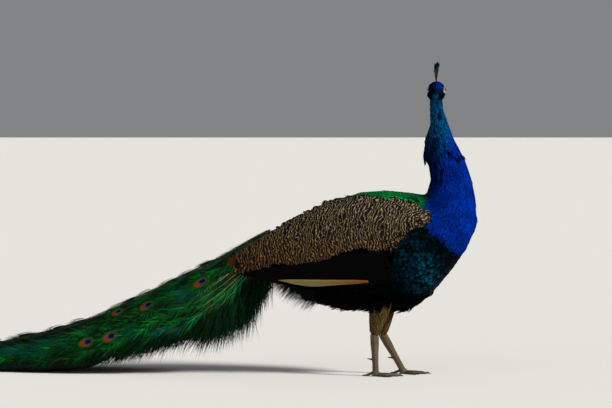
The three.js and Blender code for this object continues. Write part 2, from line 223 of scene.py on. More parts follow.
def finish(name, roughness, metallic=0.0, **sockets):
    """A material with one shader; returns it with its tree, shader and place on the bird."""
    made = bpy.data.materials.new(name)
    made.use_nodes = True
    tree = made.node_tree
    tree.nodes.clear()
    shader = add(tree, "ShaderNodeBsdfPrincipled", {"Roughness": roughness, "Metallic": metallic})
    shader.inputs["Specular IOR Level"].default_value = 0.08
    for key, value in sockets.items():
        shader.inputs[key.replace("_", " ")].default_value = value
    add(tree, "ShaderNodeOutputMaterial", {"Surface": shader.outputs[0]})
    place = add(tree, "ShaderNodeTexCoord").outputs["Object"]
    return made, tree, shader, place


def bump(tree, shader, height, depth, strength=0.6):
    """Relief from a height, without new geometry."""
    relief = add(tree, "ShaderNodeBump", {"Height": height, "Distance": depth, "Strength": strength})
    tree.links.new(relief.outputs[0], shader.inputs["Normal"])


def paint(tree, shader, colour):
    """Gives a shader its colour."""
    tree.links.new(colour, shader.inputs["Base Color"])


print("finish tools ready")

# %% Feather finishes
INK, RIM_GREEN = (0, 0, 0), (0.001, 0.004, 0.003)
GRAIN, GRAIN_SHARE = 420.0, 0.75
BARBS_ALONG, BARBS_ACROSS, BARB_RELIEF = 90.0, -80.0, 0.0004


def vane_finish(name, roughness, metallic, edge=0.0, gloss=0.05, root_shade=0.75):
    """Fine barbs, painted shade at the root and, where edge isn't 0, a dark rim over the feather's own
    colour.
    """
    made, tree, shader, place = finish(name, roughness, metallic, Specular_IOR_Level=gloss)
    along, across = vane_axes(tree)
    off_centre = reckon(tree, "ABSOLUTE", reckon(tree, "SUBTRACT", across, 0.5))
    colour = blend_of(tree, times(tree, speckle(tree, place, GRAIN), GRAIN_SHARE), own_tone(tree), INK)
    # Painted shade: the root darkens to ink where the feathers above lie over it.
    root = reckon(tree, "SUBTRACT", root_shade, times(tree, along, 1.3))
    colour = blend_of(tree, add(tree, "ShaderNodeClamp", {0: root}).outputs[0], colour, INK)
    if edge:
        rim = reckon(tree, "MAXIMUM", times(tree, off_centre, 2.0), along)
        colour = blend_of(tree, ramp(tree, rim, 0.7, 0.92, 0.0, edge), colour, RIM_GREEN)
    paint(tree, shader, colour)
    slant = reckon(tree, "ADD", times(tree, along, BARBS_ALONG), times(tree, off_centre, BARBS_ACROSS))
    bump(tree, shader, reckon(tree, "SINE", slant), BARB_RELIEF, 0.5)
    return made


down_finish = vane_finish("neck_down", 0.5, 0.0, gloss=0.0, root_shade=0.9)
scale_finish = vane_finish("scaled_back", 0.42, 0.15, edge=0.96, gloss=0.0, root_shade=0.9)
dark_finish = vane_finish("dark_plumage", 0.6, 0.0, gloss=0.02)
barb_finish = vane_finish("train_barb", 0.45, 0.25, root_shade=0.4)
print("feather finishes:", [m.name for m in bpy.data.materials])

# %% [markdown]
# ## Barred wing coverts
# The folded wing is covered by buff feathers crossed by wavy black bars about nine millimetres
# apart. The bars run across the lie of the feathers, which fan back from the shoulder, so the
# distance from the shoulder, warped by noise, gives their place.

# %% Barred finish
SHOULDER = at(190, 0, 470)
BAR_STEP = 0.0090
BROAD_WAVES, BROAD_WARP = 22.0, 0.036
FINE_WAVES, FINE_WARP = 95.0, 0.016
BUFF_LOW, BUFF_HIGH, BUFF_FROM, BUFF_TO = shade(166, 112, 24), shade(196, 176, 132), 0.36, 0.54
DULL_BROWN, BAR_BLACK, ROOT_SHADE = shade(66, 50, 34), (0.004, 0.0035, 0.004), (0.003, 0.003, 0.003)


def barred_finish(name):
    """Wavy black bars on buff, paler higher up, dull in places, with painted shade at each feather's root."""
    made, tree, shader, place = finish(name, 0.62)
    split = add(tree, "ShaderNodeSeparateXYZ", {0: place})
    flat = add(tree, "ShaderNodeCombineXYZ", {0: split.outputs[0], 2: split.outputs[2]}).outputs[0]
    out = add(tree, "ShaderNodeVectorMath", {0: flat, 1: tuple(SHOULDER)}, operation="SUBTRACT")
    reach = add(tree, "ShaderNodeVectorMath", {0: out.outputs[0]}, operation="LENGTH").outputs["Value"]
    broad = times(tree, speckle(tree, place, BROAD_WAVES, 1.0), BROAD_WARP)
    fine = times(tree, speckle(tree, place, FINE_WAVES, 1.0), FINE_WARP)
    warped = reckon(tree, "ADD", reach, reckon(tree, "ADD", broad, fine))
    wave = reckon(tree, "SINE", times(tree, warped, 2 * math.pi / BAR_STEP))
    height = ramp(tree, split.outputs[2], BUFF_FROM, BUFF_TO)
    dull = ramp(tree, speckle(tree, place, 130.0), 0.35, 0.7, 0.15, 0.95)
    buff = blend_of(tree, dull, blend_of(tree, height, BUFF_LOW, BUFF_HIGH), DULL_BROWN)
    colour = blend_of(tree, ramp(tree, wave, 0.3, 1.0), BAR_BLACK, buff)
    along, _ = vane_axes(tree)
    # Painted shade at each covert's root, where the feathers above lie over it.
    colour = blend_of(tree, ramp(tree, along, 0.15, 0.6, 0.8, 0.0), colour, ROOT_SHADE)
    paint(tree, shader, colour)
    bump(tree, shader, reckon(tree, "SINE", times(tree, along, 80.0)), BARB_RELIEF, 0.5)
    return made


barred = barred_finish("barred_coverts")
print("bars every", BAR_STEP, "m")

# %% [markdown]
# ## Hard and bare parts
# The bill, claws and spurs are horn and the legs are scaled skin. Their solids have the right
# shapes, so they stay and get a better finish. The lids, made later, are dark grey skin.

# %% Finishes of the hard and bare parts


def mottled(name, first, second, scale, roughness, depth, stretch=(1, 1, 1), **sockets):
    """Two colours mixed by noise, with the same noise as relief."""
    made, tree, shader, place = finish(name, roughness, **sockets)
    squeezed = add(tree, "ShaderNodeMapping", {"Vector": place, "Scale": stretch}).outputs[0]
    grain = speckle(tree, squeezed, scale, 4.0)
    paint(tree, shader, blend_of(tree, grain, first, second))
    bump(tree, shader, grain, depth)
    return made


horn = mottled("bill_horn", shade(70, 62, 52), shade(128, 116, 98), 160, 0.36, 0.0003, (1, 1, 0.3))
claw_horn = mottled("claw_horn", shade(34, 28, 24), shade(74, 62, 50), 200, 0.35, 0.0003)
lid_skin = mottled("lid_skin", shade(34, 36, 40), shade(84, 86, 88), 600, 0.5, 0.0003)
SCALE_STEP, SCALE_WARP = 0.0062, 0.006


def leg_finish():
    """Grey-brown scaled skin: rings across the shank, with dark lines between."""
    made, tree, shader, place = finish("leg_scales", 0.5)
    split = add(tree, "ShaderNodeSeparateXYZ", {0: place})
    warp = times(tree, speckle(tree, place, 90.0), SCALE_WARP)
    step = times(tree, reckon(tree, "ADD", split.outputs[2], warp), 1 / SCALE_STEP)
    line = ramp(tree, reckon(tree, "FRACT", step), 0.0, 0.22)
    scales = blend_of(tree, speckle(tree, place, 60.0), shade(58, 48, 36), shade(120, 106, 84))
    paint(tree, shader, blend_of(tree, line, shade(24, 20, 16), scales))
    bump(tree, shader, line, 0.0006)
    return made


leg_scales = leg_finish()


def wear(starts, material):
    """Gives the nodes whose names start so a better finish, and says how many they are."""
    names = [name for name in nodes if name.startswith(starts)]
    for name in names:
        nodes[name].data.materials.clear()
        nodes[name].data.materials.append(material)
    return len(names)


kept_nodes = wear(("claw", "spur"), claw_horn) + wear(("shank", "foot"), leg_scales) + wear("bill", horn)
print("nodes kept with a better finish:", kept_nodes)

# %% [markdown]
# ## One skin over the flesh
# Under its feathers a bird is one piece. The solids of the head, neck, trunk, thighs and folded
# wings are copied, melted into one closed skin by a voxel remesh, and drawn in by about the
# depth of the coat, less on the head, where the feathers are short.

# %% Melt solids into one skin
FLESH = ["head", "neck_upper", "neck_middle", "neck_lower", "breast", "back", "belly", "rump"]
FLESH += ["thigh_left", "thigh_right"]
WING_PARTS = ("wing_coverts", "secondaries", "primaries")
WINGS = [f"{part}_{side}" for side in ("left", "right") for part in WING_PARTS]


def linked(name, work):
    """A new object with the mesh that was under work."""
    data = bpy.data.meshes.new(name)
    work.to_mesh(data)
    work.free()
    made = bpy.data.objects.new(name, data)
    scene.collection.objects.link(made)
    return made


def evaluated(piece):
    """The mesh that a piece's modifiers make."""
    return bpy.data.meshes.new_from_object(piece.evaluated_get(bpy.context.evaluated_depsgraph_get()))


def melted(name, sources, voxel):
    """Copies of some solids as one closed mesh; inner shells are dropped."""
    work = bmesh.new()
    for source in sources:
        work.from_mesh(nodes[source].data)
    bmesh.ops.remove_doubles(work, verts=work.verts, dist=1e-6)
    piece = linked(name, work)
    remesh = piece.modifiers.new("melt", "REMESH")
    remesh.mode, remesh.voxel_size, remesh.use_smooth_shade = "VOXEL", voxel, True
    solid = evaluated(piece)
    piece.modifiers.clear()
    piece.data = solid
    piece.data.materials.clear()
    work = bmesh.new()
    work.from_mesh(piece.data)
    work.verts.ensure_lookup_table()
    seen, islands = set(), []
    for vert in work.verts:
        if vert in seen:
            continue
        island, front = [], [vert]
        seen.add(vert)
        while front:
            here = front.pop()
            island.append(here)
            for line in here.link_edges:
                other = line.other_vert(here)
                if other not in seen:
                    seen.add(other)
                    front.append(other)
        islands.append(island)
    islands.sort(key=len)
    bmesh.ops.delete(work, geom=[v for island in islands[:-1] for v in island], context="VERTS")
    work.to_mesh(piece.data)
    work.free()
    print(name, "pieces found:", len(islands), "faces:", len(piece.data.polygons))
    return piece


def refined(piece, chosen, rounds):
    """Cuts the faces whose middles are chosen into four, some times over."""
    work = bmesh.new()
    work.from_mesh(piece.data)
    for _ in range(rounds):
        lines = {line for face in work.faces if chosen(face.calc_center_median()) for line in face.edges}
        bmesh.ops.subdivide_edges(work, edges=list(lines), cuts=1, use_grid_fill=True, smooth=0.0)
    bmesh.ops.triangulate(work, faces=[face for face in work.faces if len(face.verts) > 4])
    for face in work.faces:
        face.smooth = True
    work.to_mesh(piece.data)
    work.free()


def vertex_array(mesh, field="co"):
    """All vertex places or normals as rows."""
    out = np.empty(len(mesh.vertices) * 3, np.float32)
    mesh.vertices.foreach_get(field, out)
    return out.reshape(-1, 3).astype(float)


def move_to(mesh, places):
    """Puts every vertex in its new place."""
    mesh.vertices.foreach_set("co", np.asarray(places, np.float32).ravel())
    mesh.update()


def edge_array(mesh):
    """The two ends of every edge."""
    out = np.empty(len(mesh.edges) * 2, np.int32)
    mesh.edges.foreach_get("vertices", out)
    return out.reshape(-1, 2)


def smoothed(mesh, places, rounds):
    """Each place drawn half way to the mean of its neighbours, some times over."""
    ends = edge_array(mesh)
    count = np.bincount(ends.ravel(), minlength=len(places))[:, None]
    for _ in range(rounds):
        total = np.zeros_like(places)
        np.add.at(total, ends[:, 0], places[ends[:, 1]])
        np.add.at(total, ends[:, 1], places[ends[:, 0]])
        places = places + 0.5 * (total / np.maximum(count, 1) - places)
    return places


SKIN_GRAIN, HEAD_FOOT = 0.0047, 0.862
skin = melted("skin", FLESH + WINGS, SKIN_GRAIN)
refined(skin, lambda middle: middle.z > HEAD_FOOT, 2)

# %% Which solid each part of the skin came from


def hull_of(*meshes):
    """A tree that finds places on the surface of some meshes."""
    points, faces = [], []
    for mesh in meshes:
        start = len(points)
        points += [v.co.copy() for v in mesh.vertices]
        faces += [[start + i for i in p.vertices] for p in mesh.polygons]
    return BVHTree.FromPolygons(points, faces)


def nearest_solids(sources, places):
    """The name of the solid nearest to each place."""
    tree = hull_of(*(nodes[source].data for source in sources))
    owner = [source for source in sources for _ in nodes[source].data.polygons]
    return np.array([owner[tree.find_nearest(Vector(p))[2]] for p in places])


rest = vertex_array(skin.data)
origin = nearest_solids(FLESH + WINGS, rest)
print({n: int((origin == n).sum()) for n in sorted(set(origin))})

# %% Draw the skin in by the depth of the coat
HEAD_COAT, BODY_COAT, NECK_COAT, THIGH_COAT = 0.0012, 0.0038, 0.003, 0.0028
FOLD_HEIGHT, FOLD_SPREAD = 0.528, 0.036


def came_from(*starts):
    """Which places of the skin come from solids whose names start so."""
    return np.any([np.char.startswith(origin, start) for start in starts], axis=0)


on_head = origin == "head"
on_wing = came_from("wing", "secondaries", "primaries")
depth = np.where(on_head, HEAD_COAT, BODY_COAT)
depth = np.where(came_from("neck"), np.interp(rest[:, 2], [0.6, 0.8], [NECK_COAT, HEAD_COAT]), depth)
depth = np.where(came_from("thigh"), THIGH_COAT, depth)
depth = smoothed(skin.data, depth[:, None], 12)
soft = smoothed(skin.data, rest, 2)
fold = np.exp(-(((rest[:, 2] - FOLD_HEIGHT) / FOLD_SPREAD) ** 2)) * ease(0.62, 0.70, rest[:, 0])
softest = smoothed(skin.data, rest, 70)
soft = soft * (1 - fold[:, None]) + softest * fold[:, None]
head_hull = hull_of(nodes["head"].data)
snug = rest.copy()
snug[on_head] = [tuple(head_hull.find_nearest(Vector(p))[0]) for p in rest[on_head]]
hold = smoothed(skin.data, on_head.astype(float)[:, None], 6)
soft = soft * (1 - hold) + smoothed(skin.data, snug, 4) * hold
move_to(skin.data, soft)
move_to(skin.data, soft - vertex_array(skin.data, "normal") * depth)
skin_at = vertex_array(skin.data)
print("skin drawn in by", float(depth.min()), "to", float(depth.max()), "m")

# %% [markdown]
# ## Markings and the lie of the coat
# Two things are known at every place on the bird: the colour of the feathers there and the way
# they point. Neck feathers hang down from the head, breast feathers fan down and back, back
# feathers run to the tail, and those of the folded wing fan back from the shoulder.

# %% Colours of the bird
COBALT, TEAL = shade(0, 56, 182), shade(0, 96, 146)
EMERALD, BRONZE = shade(10, 150, 76), shade(54, 62, 14)
FLANK, BLACK = shade(0, 22, 26), shade(2, 2, 3)
BUFF_TIBIA, RUFOUS, OLIVE = shade(112, 92, 52), shade(136, 78, 12), shade(140, 130, 76)
COVERT, NECK_SHADOW = shade(60, 44, 24), shade(0, 20, 34)
MANTLE_SHADOW, CROWN_LOW = shade(0, 34, 22), shade(0, 40, 70)
FACE_WHITE, FACE_BLACK = shade(215, 210, 198), shade(3, 5, 6)


def step_between(first, second, amount):
    """Rows of colour between two colours, or between rows of colours."""
    amount = np.asarray(amount)[:, None]
    return np.asarray(first) * (1 - amount) + np.asarray(second) * amount


NAPE_LINE = 196


def breast_foot(x):
    """The height on the bird where the blue of the breast ends."""
    return 490 - (x - 160) * 0.92


def body_tone(places):
    """Ground colour of the body's own feathers at each place, with painted shade on the neck's rear side and
    at the front of the mantle.
    """
    x, _, z = on_bird(places).T
    nape = ease(-42, 12, (NAPE_LINE - x) + 0.12 * (z - 640)) * ease(640, 790, z)
    blue = step_between(COBALT, TEAL, nape * 0.92)
    # Painted shade on the rear side of the neck, which faces away from the lamp.
    shadow = ease(-12, 34, NAPE_LINE - x) * ease(560, 620, z) * (1 - ease(700, 790, z))
    blue = step_between(blue, NECK_SHADOW, 0.85 * shadow)
    mantle = step_between(EMERALD, BRONZE, ease(-60, 60, -x - 110))
    # Painted shade at the front of the mantle, where it meets the neck.
    mantle = step_between(mantle, MANTLE_SHADOW, 0.8 * ease(130, 168, x))
    low = step_between(FLANK, BLACK, ease(0, 1, (330 - z) / 90 + (150 - x) / 200))
    breast = ease(-14, 14, z - breast_foot(x))[:, None] * ease(120, 150, x)[:, None]
    side = ease(465, 520, z)[:, None]
    tone = low * (1 - side) + mantle * side
    collar = ease(-10, 10, x - 168 + (z - 560) * 0.1)[:, None] * ease(430, 470, z)[:, None]
    high = ease(600, 625, z)[:, None]
    blueness = np.maximum(np.maximum(breast * ease(150, 175, x)[:, None], collar), high)
    return tone * (1 - blueness) + blue * blueness


HEAD_CENTRE, HEAD_TURN = np.array([181, 9, 898]), math.radians(93)
BILLWARD = np.array([math.cos(HEAD_TURN), math.sin(HEAD_TURN), 0])
HEAD_LEFT = np.cross([0, 0, 1], BILLWARD)


def head_place(places):
    """Millimetres towards the bill, to the head's left and up, from the middle of the head."""
    over = on_bird(places) - HEAD_CENTRE
    return over @ BILLWARD, over @ HEAD_LEFT, over[:, 2]


def band(value, low, high, soft=1.2):
    """1 between low and high, 0 outside."""
    return ease(low - soft, low + soft, value) * (1 - ease(high - soft, high + soft, value))


def bare_face(places):
    """How bare and white the skin is: a stripe over each eye and a crescent under it."""
    along, across, up = head_place(places)
    side, rear = ease(7, 11, np.abs(across)), 1 - ease(-4, 4, along)
    brow = band(along, -15, 24) * band(up - 12.2 + 0.010 * (along - 6) ** 2, -2.2 - 2.8 * rear, 2.4, 0.8)
    cheek = band(along, -20, 21) * band(up + 4.8 - 0.012 * (along - 4) ** 2, -5.2, 3.6 + 3.0 * rear, 0.8)
    return np.maximum(brow, cheek) * side


def black_face(places):
    """How black the head is: a stripe through the eye, the lores and the lower back of the cheek."""
    along, across, up = head_place(places)
    side, rear = ease(9, 14, np.abs(across)), 1 - ease(-4, 4, along)
    stripe = band(along, -22, 34) * band(up - 4.4, -3.8 + 2.6 * rear, 4.2 - 2.8 * rear)
    ear = band(along, -30, -2, 3) * band(up + 14, -11, 7, 3) * side
    return np.maximum(stripe * ease(5, 9, np.abs(across)), ear)


def head_tone(places):
    """Colours of the head: blue crown, teal throat, black and bare white on the face, and painted shade on
    the crown's left rear.
    """
    along, across, up = head_place(places)
    crown = step_between(CROWN_LOW, COBALT, ease(-6, 12, up + along * 0.4))
    # Painted shade: the left rear of the crown, away from the lamp, is darkened by three quarters.
    crown = crown * (1 - 0.75 * ease(-2, 4, across) * ease(4, -8, along))[:, None]
    throat = (1 - ease(-16, -2, up))[:, None]
    tone = crown * (1 - throat) + np.array(TEAL) * throat
    black = black_face(places)[:, None]
    white = bare_face(places)[:, None] * (1 - black)
    tone = tone * (1 - black) + np.array(FACE_BLACK) * black
    return tone * (1 - white) + np.array(FACE_WHITE) * white


def crown_tone(places):
    """Colours of the head's feathers: black wherever one stands beside bare skin or in the stripe."""
    dark = ease(0.03, 0.25, np.maximum(black_face(places), bare_face(places)))[:, None]
    return head_tone(places) * (1 - dark) + np.array(FACE_BLACK) * dark


# %% The way the feathers point
NECK_LINE = np.array(
    [[445, 196], [505, 221], [555, 225], [606, 230], [674, 215], [740, 198], [800, 191], [884, 184]]
)


def lie_of(places, normals, kind):
    """Unit directions in the skin that the feathers point along."""
    x, y, z = on_bird(places).T
    front = ease(60, 300, x)
    trunk = np.stack([-1 + 0.85 * front, 0.25 * np.sign(y) * front, -0.16 - 1.0 * front], 1)
    slope = np.interp(z, NECK_LINE[:, 0], np.gradient(NECK_LINE[:, 1], NECK_LINE[:, 0]))
    down = np.stack([-slope - 0.1, 0 * x, -1 + 0 * x], 1)
    neck = ease(520, 620, z)[:, None]
    lie = unit(trunk) * (1 - neck) + unit(down) * neck
    fan = places - SHOULDER * np.array([1, 0, 1]) - np.array([0, 1, 0]) * places
    wing = unit(fan) * 0.75 + np.array([-0.9, 0, -0.28])
    thigh = np.array([-0.15, 0, -1.0])
    along, _, _ = head_place(places)
    crown = -BILLWARD * 1.0 + np.array([0, 0, -0.5]) * ease(-10, 20, -along)[:, None]
    lie = np.where((kind == "wing")[:, None], unit(wing), lie)
    lie = np.where((kind == "quill")[:, None], np.array([-1.0, 0, -0.12]), lie)
    lie = np.where((kind == "thigh")[:, None], thigh, lie)
    lie = np.where((kind == "head")[:, None], unit(crown), lie)
    lie = lie - normals * np.sum(lie * normals, 1, keepdims=True)
    return unit(lie)


print("markings and lie ready")

# %% [markdown]
# ## Laying feathers
# A few small feathers are modelled once and laid thousands of times. Places are spread over the
# skin with an even spacing, and each place keeps its lie, its size, its colour and its root's
# place on the skin's own unwrap. One Geometry Nodes tree then puts a feather on every place,
# makes them real, and gives each a tiny patch of the OFBake map at its root.

# %% Unwrap the skin and note what each corner knows
kinds = np.full(len(origin), "body", dtype="U8")
kinds[on_wing] = "wing"
kinds[came_from("secondaries", "primaries")] = "quill"
kinds[on_head] = "head"
kinds[came_from("thigh")] = "thigh"

SHOULDER_TOP = ([70, 144, 181], [567, 538, 522])
SHOULDER_FOOT = ([74, 81, 106, 118, 160, 181], [404, 424, 445, 468, 478, 494])
COVERT_FOOT = ([-420, -390, -273, -190, -114, -46, -8, 60], [330, 336, 368, 359, 385, 406, 416, 408])
skin_x, skin_y, skin_z = on_bird(skin_at).T
shoulder = (kinds == "body") & (skin_x < 183) & (skin_x > 60) & (np.abs(skin_y) > 42)
shoulder &= (skin_z < np.interp(skin_x, *SHOULDER_TOP)) & (skin_z > np.interp(skin_x, *SHOULDER_FOOT))
kinds[shoulder] = "wing"
lobes = 5 * np.sin(skin_x / 17) + 3 * np.sin(skin_x / 7 + 1)
over_quills = (kinds == "quill") & (skin_z > np.interp(skin_x, *COVERT_FOOT) + lobes) & (skin_x > -420)
kinds[(kinds == "wing") & (skin_x > 60) & (skin_z < np.interp(skin_x, *SHOULDER_FOOT) - 4)] = "quill"
SEAM_ANGLE = math.radians(66)


def unwrap(piece):
    """Flattens a piece's own shape into a map named OFBake."""
    bpy.ops.object.select_all(action="DESELECT")
    piece.select_set(True)
    bpy.context.view_layer.objects.active = piece
    piece.data.uv_layers.new(name="OFBake")
    bpy.ops.object.mode_set(mode="EDIT")
    bpy.ops.mesh.select_all(action="SELECT")
    bpy.ops.uv.smart_project(angle_limit=SEAM_ANGLE, island_margin=0.002)
    bpy.ops.object.mode_set(mode="OBJECT")


class Ground:
    """A surface that feathers are laid on, cut into triangles."""

    def __init__(self, piece):
        mesh = piece.data
        mesh.calc_loop_triangles()
        count = len(mesh.loop_triangles)
        corners, loops = np.empty(count * 3, np.int32), np.empty(count * 3, np.int32)
        mesh.loop_triangles.foreach_get("vertices", corners)
        mesh.loop_triangles.foreach_get("loops", loops)
        flat = np.empty(len(mesh.loops) * 2, np.float32)
        mesh.uv_layers["OFBake"].data.foreach_get("uv", flat)
        self.corners = corners.reshape(-1, 3)
        self.place, self.out = vertex_array(mesh), vertex_array(mesh, "normal")
        self.map = flat.reshape(-1, 2)[loops.reshape(-1, 3)]
        a, b, c = (self.place[self.corners[:, i]] for i in range(3))
        self.area = np.linalg.norm(np.cross(b - a, c - a), axis=1) / 2

    def spread(self, wanted, spacing, seed):
        """Evenly spread places where wanted (per vertex) is true: place, normal, map, vertex."""
        use = np.flatnonzero(wanted[self.corners].all(1))
        area = self.area[use]
        random = np.random.default_rng(seed)
        tries = int(area.sum() / spacing**2 * 4.5)
        pick = use[random.choice(len(use), tries, p=area / area.sum())]
        weights = random.random((tries, 2))
        weights[weights.sum(1) > 1] = 1 - weights[weights.sum(1) > 1]
        weights = np.column_stack([1 - weights.sum(1), weights])[:, :, None]
        places = (self.place[self.corners[pick]] * weights).sum(1)
        cell, taken, kept = spacing / 1.732, {}, []
        grid = np.floor(places / cell).astype(int)
        ring = [(i, j, k) for i in (-1, 0, 1) for j in (-1, 0, 1) for k in (-1, 0, 1)]
        ring += [(2, 0, 0), (-2, 0, 0), (0, 2, 0), (0, -2, 0), (0, 0, 2), (0, 0, -2)]
        for index in range(tries):
            i, j, k = grid[index]
            here = places[index]
            near = (taken.get((i + a, j + b, k + c)) for a, b, c in ring)
            if all(n is None or ((places[n] - here) ** 2).sum() > spacing**2 for n in near):
                taken[(i, j, k)] = index
                kept.append(index)
        chosen = pick[kept]
        weights = weights[kept]
        normals = unit((self.out[self.corners[chosen]] * weights).sum(1))
        return places[kept], normals, (self.map[chosen] * weights).sum(1), self.corners[chosen, 0]


unwrap(skin)
ground = Ground(skin)
print("skin area:", round(float(ground.area.sum()), 3), "m2")

# %% One small feather, modelled once


def template(name, work):
    """A shape that is laid many times and isn't seen itself."""
    made = linked(name, work)
    made.hide_render = True
    return made


def vane_shape(name, rows, columns, outline, camber, curl):
    """A feather one long and one wide, root at the origin; outline gives its widths along it."""
    work = bmesh.new()
    vane = work.loops.layers.uv.new("vane")
    grid = []
    for i in range(rows + 1):
        u = i / rows
        half = float(np.interp(u, np.linspace(0, 1, len(outline)), outline)) / 2
        line = []
        for j in range(columns + 1):
            v = j / columns * 2 - 1
            height = camber * half * (1 - v * v) - curl * u * u
            line.append((work.verts.new((u - 0.12 * v * v * u, v * half, height)), u, (v + 1) / 2))
        grid.append(line)
    for i in range(rows):
        for j in range(columns):
            ring = [grid[i][j], grid[i + 1][j], grid[i + 1][j + 1], grid[i][j + 1]]
            face = work.faces.new([r[0] for r in ring])
            face.smooth = True
            for loop, (_, u, v) in zip(face.loops, ring):
                loop[vane].uv = (u, v)
    work.normal_update()
    if sum(f.normal.z for f in work.faces) < 0:
        bmesh.ops.reverse_faces(work, faces=work.faces)
    return template(name, work)


ROUND_VANE = vane_shape("round_vane", 4, 2, [0.35, 0.8, 1.0, 0.92, 0.5], 0.2, 0.05)
LONG_VANE = vane_shape("long_vane", 5, 2, [0.3, 0.75, 1.0, 1.0, 0.85, 0.35], 0.2, 0.08)
LOOSE_VANE = vane_shape("loose_vane", 4, 2, [0.2, 0.8, 1.0, 0.6, 0.08], 0.25, 0.18)
BARB = vane_shape("barb", 4, 1, [1.0, 0.9, 0.7, 0.45, 0.1], 0.0, 0.12)

# %% The tree that lays them


def laying_tree():
    """Puts a feather on each point, makes it real and gives it its patch of the map."""
    tree = bpy.data.node_groups.new("lay_feathers", "GeometryNodeTree")
    tree.interface.new_socket("Geometry", in_out="OUTPUT", socket_type="NodeSocketGeometry")
    for label, kind in (
        ("Geometry", "Geometry"),
        ("Feather", "Object"),
        ("Length spread", "Float"),
        ("Patch width", "Float"),
        ("Seed", "Int"),
        ("Finish", "Material"),
    ):
        tree.interface.new_socket(label, in_out="INPUT", socket_type=f"NodeSocket{kind}")
    given = tree.nodes.new("NodeGroupInput").outputs

    def kept(name):
        return add(tree, "GeometryNodeInputNamedAttribute", {0: name}, data_type="FLOAT_VECTOR").outputs[0]

    feather = add(tree, "GeometryNodeObjectInfo", {"Object": given["Feather"]}).outputs["Geometry"]
    shortest = reckon(tree, "SUBTRACT", 1.0, given["Length spread"])
    longest = reckon(tree, "ADD", 1.0, given["Length spread"])
    vary = add(tree, "FunctionNodeRandomValue", {"Seed": given["Seed"]})
    tree.links.new(shortest, vary.inputs[2])
    tree.links.new(longest, vary.inputs[3])
    size = add(tree, "ShaderNodeVectorMath", {0: kept("size")}, operation="SCALE")
    tree.links.new(vary.outputs[1], size.inputs["Scale"])
    turn = add(tree, "FunctionNodeEulerToRotation", {0: kept("turn")}).outputs[0]
    laid = add(
        tree,
        "GeometryNodeInstanceOnPoints",
        {"Points": given["Geometry"], "Instance": feather, "Rotation": turn, "Scale": size.outputs[0]},
    ).outputs[0]
    real = add(tree, "GeometryNodeRealizeInstances", {"Geometry": laid}).outputs[0]
    within = add(tree, "ShaderNodeVectorMath", {0: kept("vane"), 1: (0.5, 0.5, 0)}, operation="SUBTRACT")
    patch = add(tree, "ShaderNodeVectorMath", {0: within.outputs[0]}, operation="SCALE")
    tree.links.new(given["Patch width"], patch.inputs["Scale"])
    spot = add(tree, "ShaderNodeVectorMath", {0: patch.outputs[0], 1: kept("root")}, operation="ADD")
    mapped = add(tree, "GeometryNodeStoreNamedAttribute", data_type="FLOAT2", domain="CORNER")
    tree.links.new(real, mapped.inputs["Geometry"])
    mapped.inputs["Name"].default_value = "OFBake"
    value = next(s for s in mapped.inputs if s.name == "Value" and s.enabled)
    tree.links.new(spot.outputs[0], value)
    done = add(tree, "GeometryNodeSetMaterial", {"Geometry": mapped.outputs[0], "Material": given["Finish"]})
    tree.links.new(done.outputs[0], add(tree, "NodeGroupOutput").inputs[0])
    return tree


LAYING = laying_tree()
LAYING_INPUT = {s.name: s.identifier for s in LAYING.interface.items_tree if s.in_out == "INPUT"}
print("tree inputs:", LAYING_INPUT)

# %% Lay a coat of feathers


def turns_from(forward, upward):
    """Turns (Euler angles) whose X axis points forward and Z axis upward."""
    forward = unit(forward)
    side = unit(np.cross(upward, forward))
    up = np.cross(forward, side)
    turns = [Matrix((f, s, u)).transposed().to_euler() for f, s, u in zip(forward, side, up)]
    return np.array([tuple(t) for t in turns])


def carry_tone(mesh, tone):
    """Gives every point of a mesh its own colour."""
    rows = np.column_stack([tone, np.ones(len(tone))]).astype(np.float32)
    mesh.attributes.new("tone", "FLOAT_COLOR", "POINT").data.foreach_set("color", rows.ravel())


def triangles_of(mesh):
    """How many triangles a mesh has."""
    return sum(len(p.vertices) - 2 for p in mesh.polygons)


def lay(
    name, feather, material, places, forward, upward, size, tone, root, slot,
    spread=0.18, patch=0.003, seed=1,
):
    """One coat piece: a feather on each place, real mesh, riding on the bird."""
    data = bpy.data.meshes.new(name)
    data.from_pydata([tuple(p) for p in places], [], [])
    for label, values in (
        ("turn", turns_from(forward, upward)),
        ("size", size),
        ("root", np.column_stack([root, np.zeros(len(root))])),
    ):
        rows = np.asarray(values, np.float32)
        data.attributes.new(label, "FLOAT_VECTOR", "POINT").data.foreach_set("vector", rows.ravel())
    carry_tone(data, tone)
    piece = bpy.data.objects.new(name, data)
    scene.collection.objects.link(piece)
    layer = piece.modifiers.new("lay", "NODES")
    layer.node_group = LAYING
    for label, value in (
        ("Feather", feather),
        ("Length spread", spread),
        ("Patch width", patch),
        ("Seed", seed),
        ("Finish", material),
    ):
        layer[LAYING_INPUT[label]] = value
    real = evaluated(piece)
    piece.modifiers.clear()
    piece.data = real
    real.name = name
    for label in ("turn", "size", "root"):
        if label in real.attributes:
            real.attributes.remove(real.attributes[label])
    real.uv_layers["OFBake"].active_render = True
    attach(piece, "root")
    print(name, "feathers:", len(places), "triangles:", triangles_of(real))
    return piece


def painted_fold_shading(places, depth):
    """Painted light and shade where a silky coat would fold: factors round 1."""
    x, y, z = on_bird(places).T
    wave = np.sin(x / 17 + z / 31 + 1.3 * np.sin(z / 23 + y / 29))
    wave = wave + 0.7 * np.sin(z / 13 - x / 19 + y / 15 + 2)
    return 1 + depth * wave / 1.7


def jitter(tone, amount, seed):
    """Each feather a little lighter or darker than its neighbours."""
    random = np.random.default_rng(seed)
    return tone * (1 + amount * (random.random((len(tone), 1)) * 2 - 1))


WANDER = 7


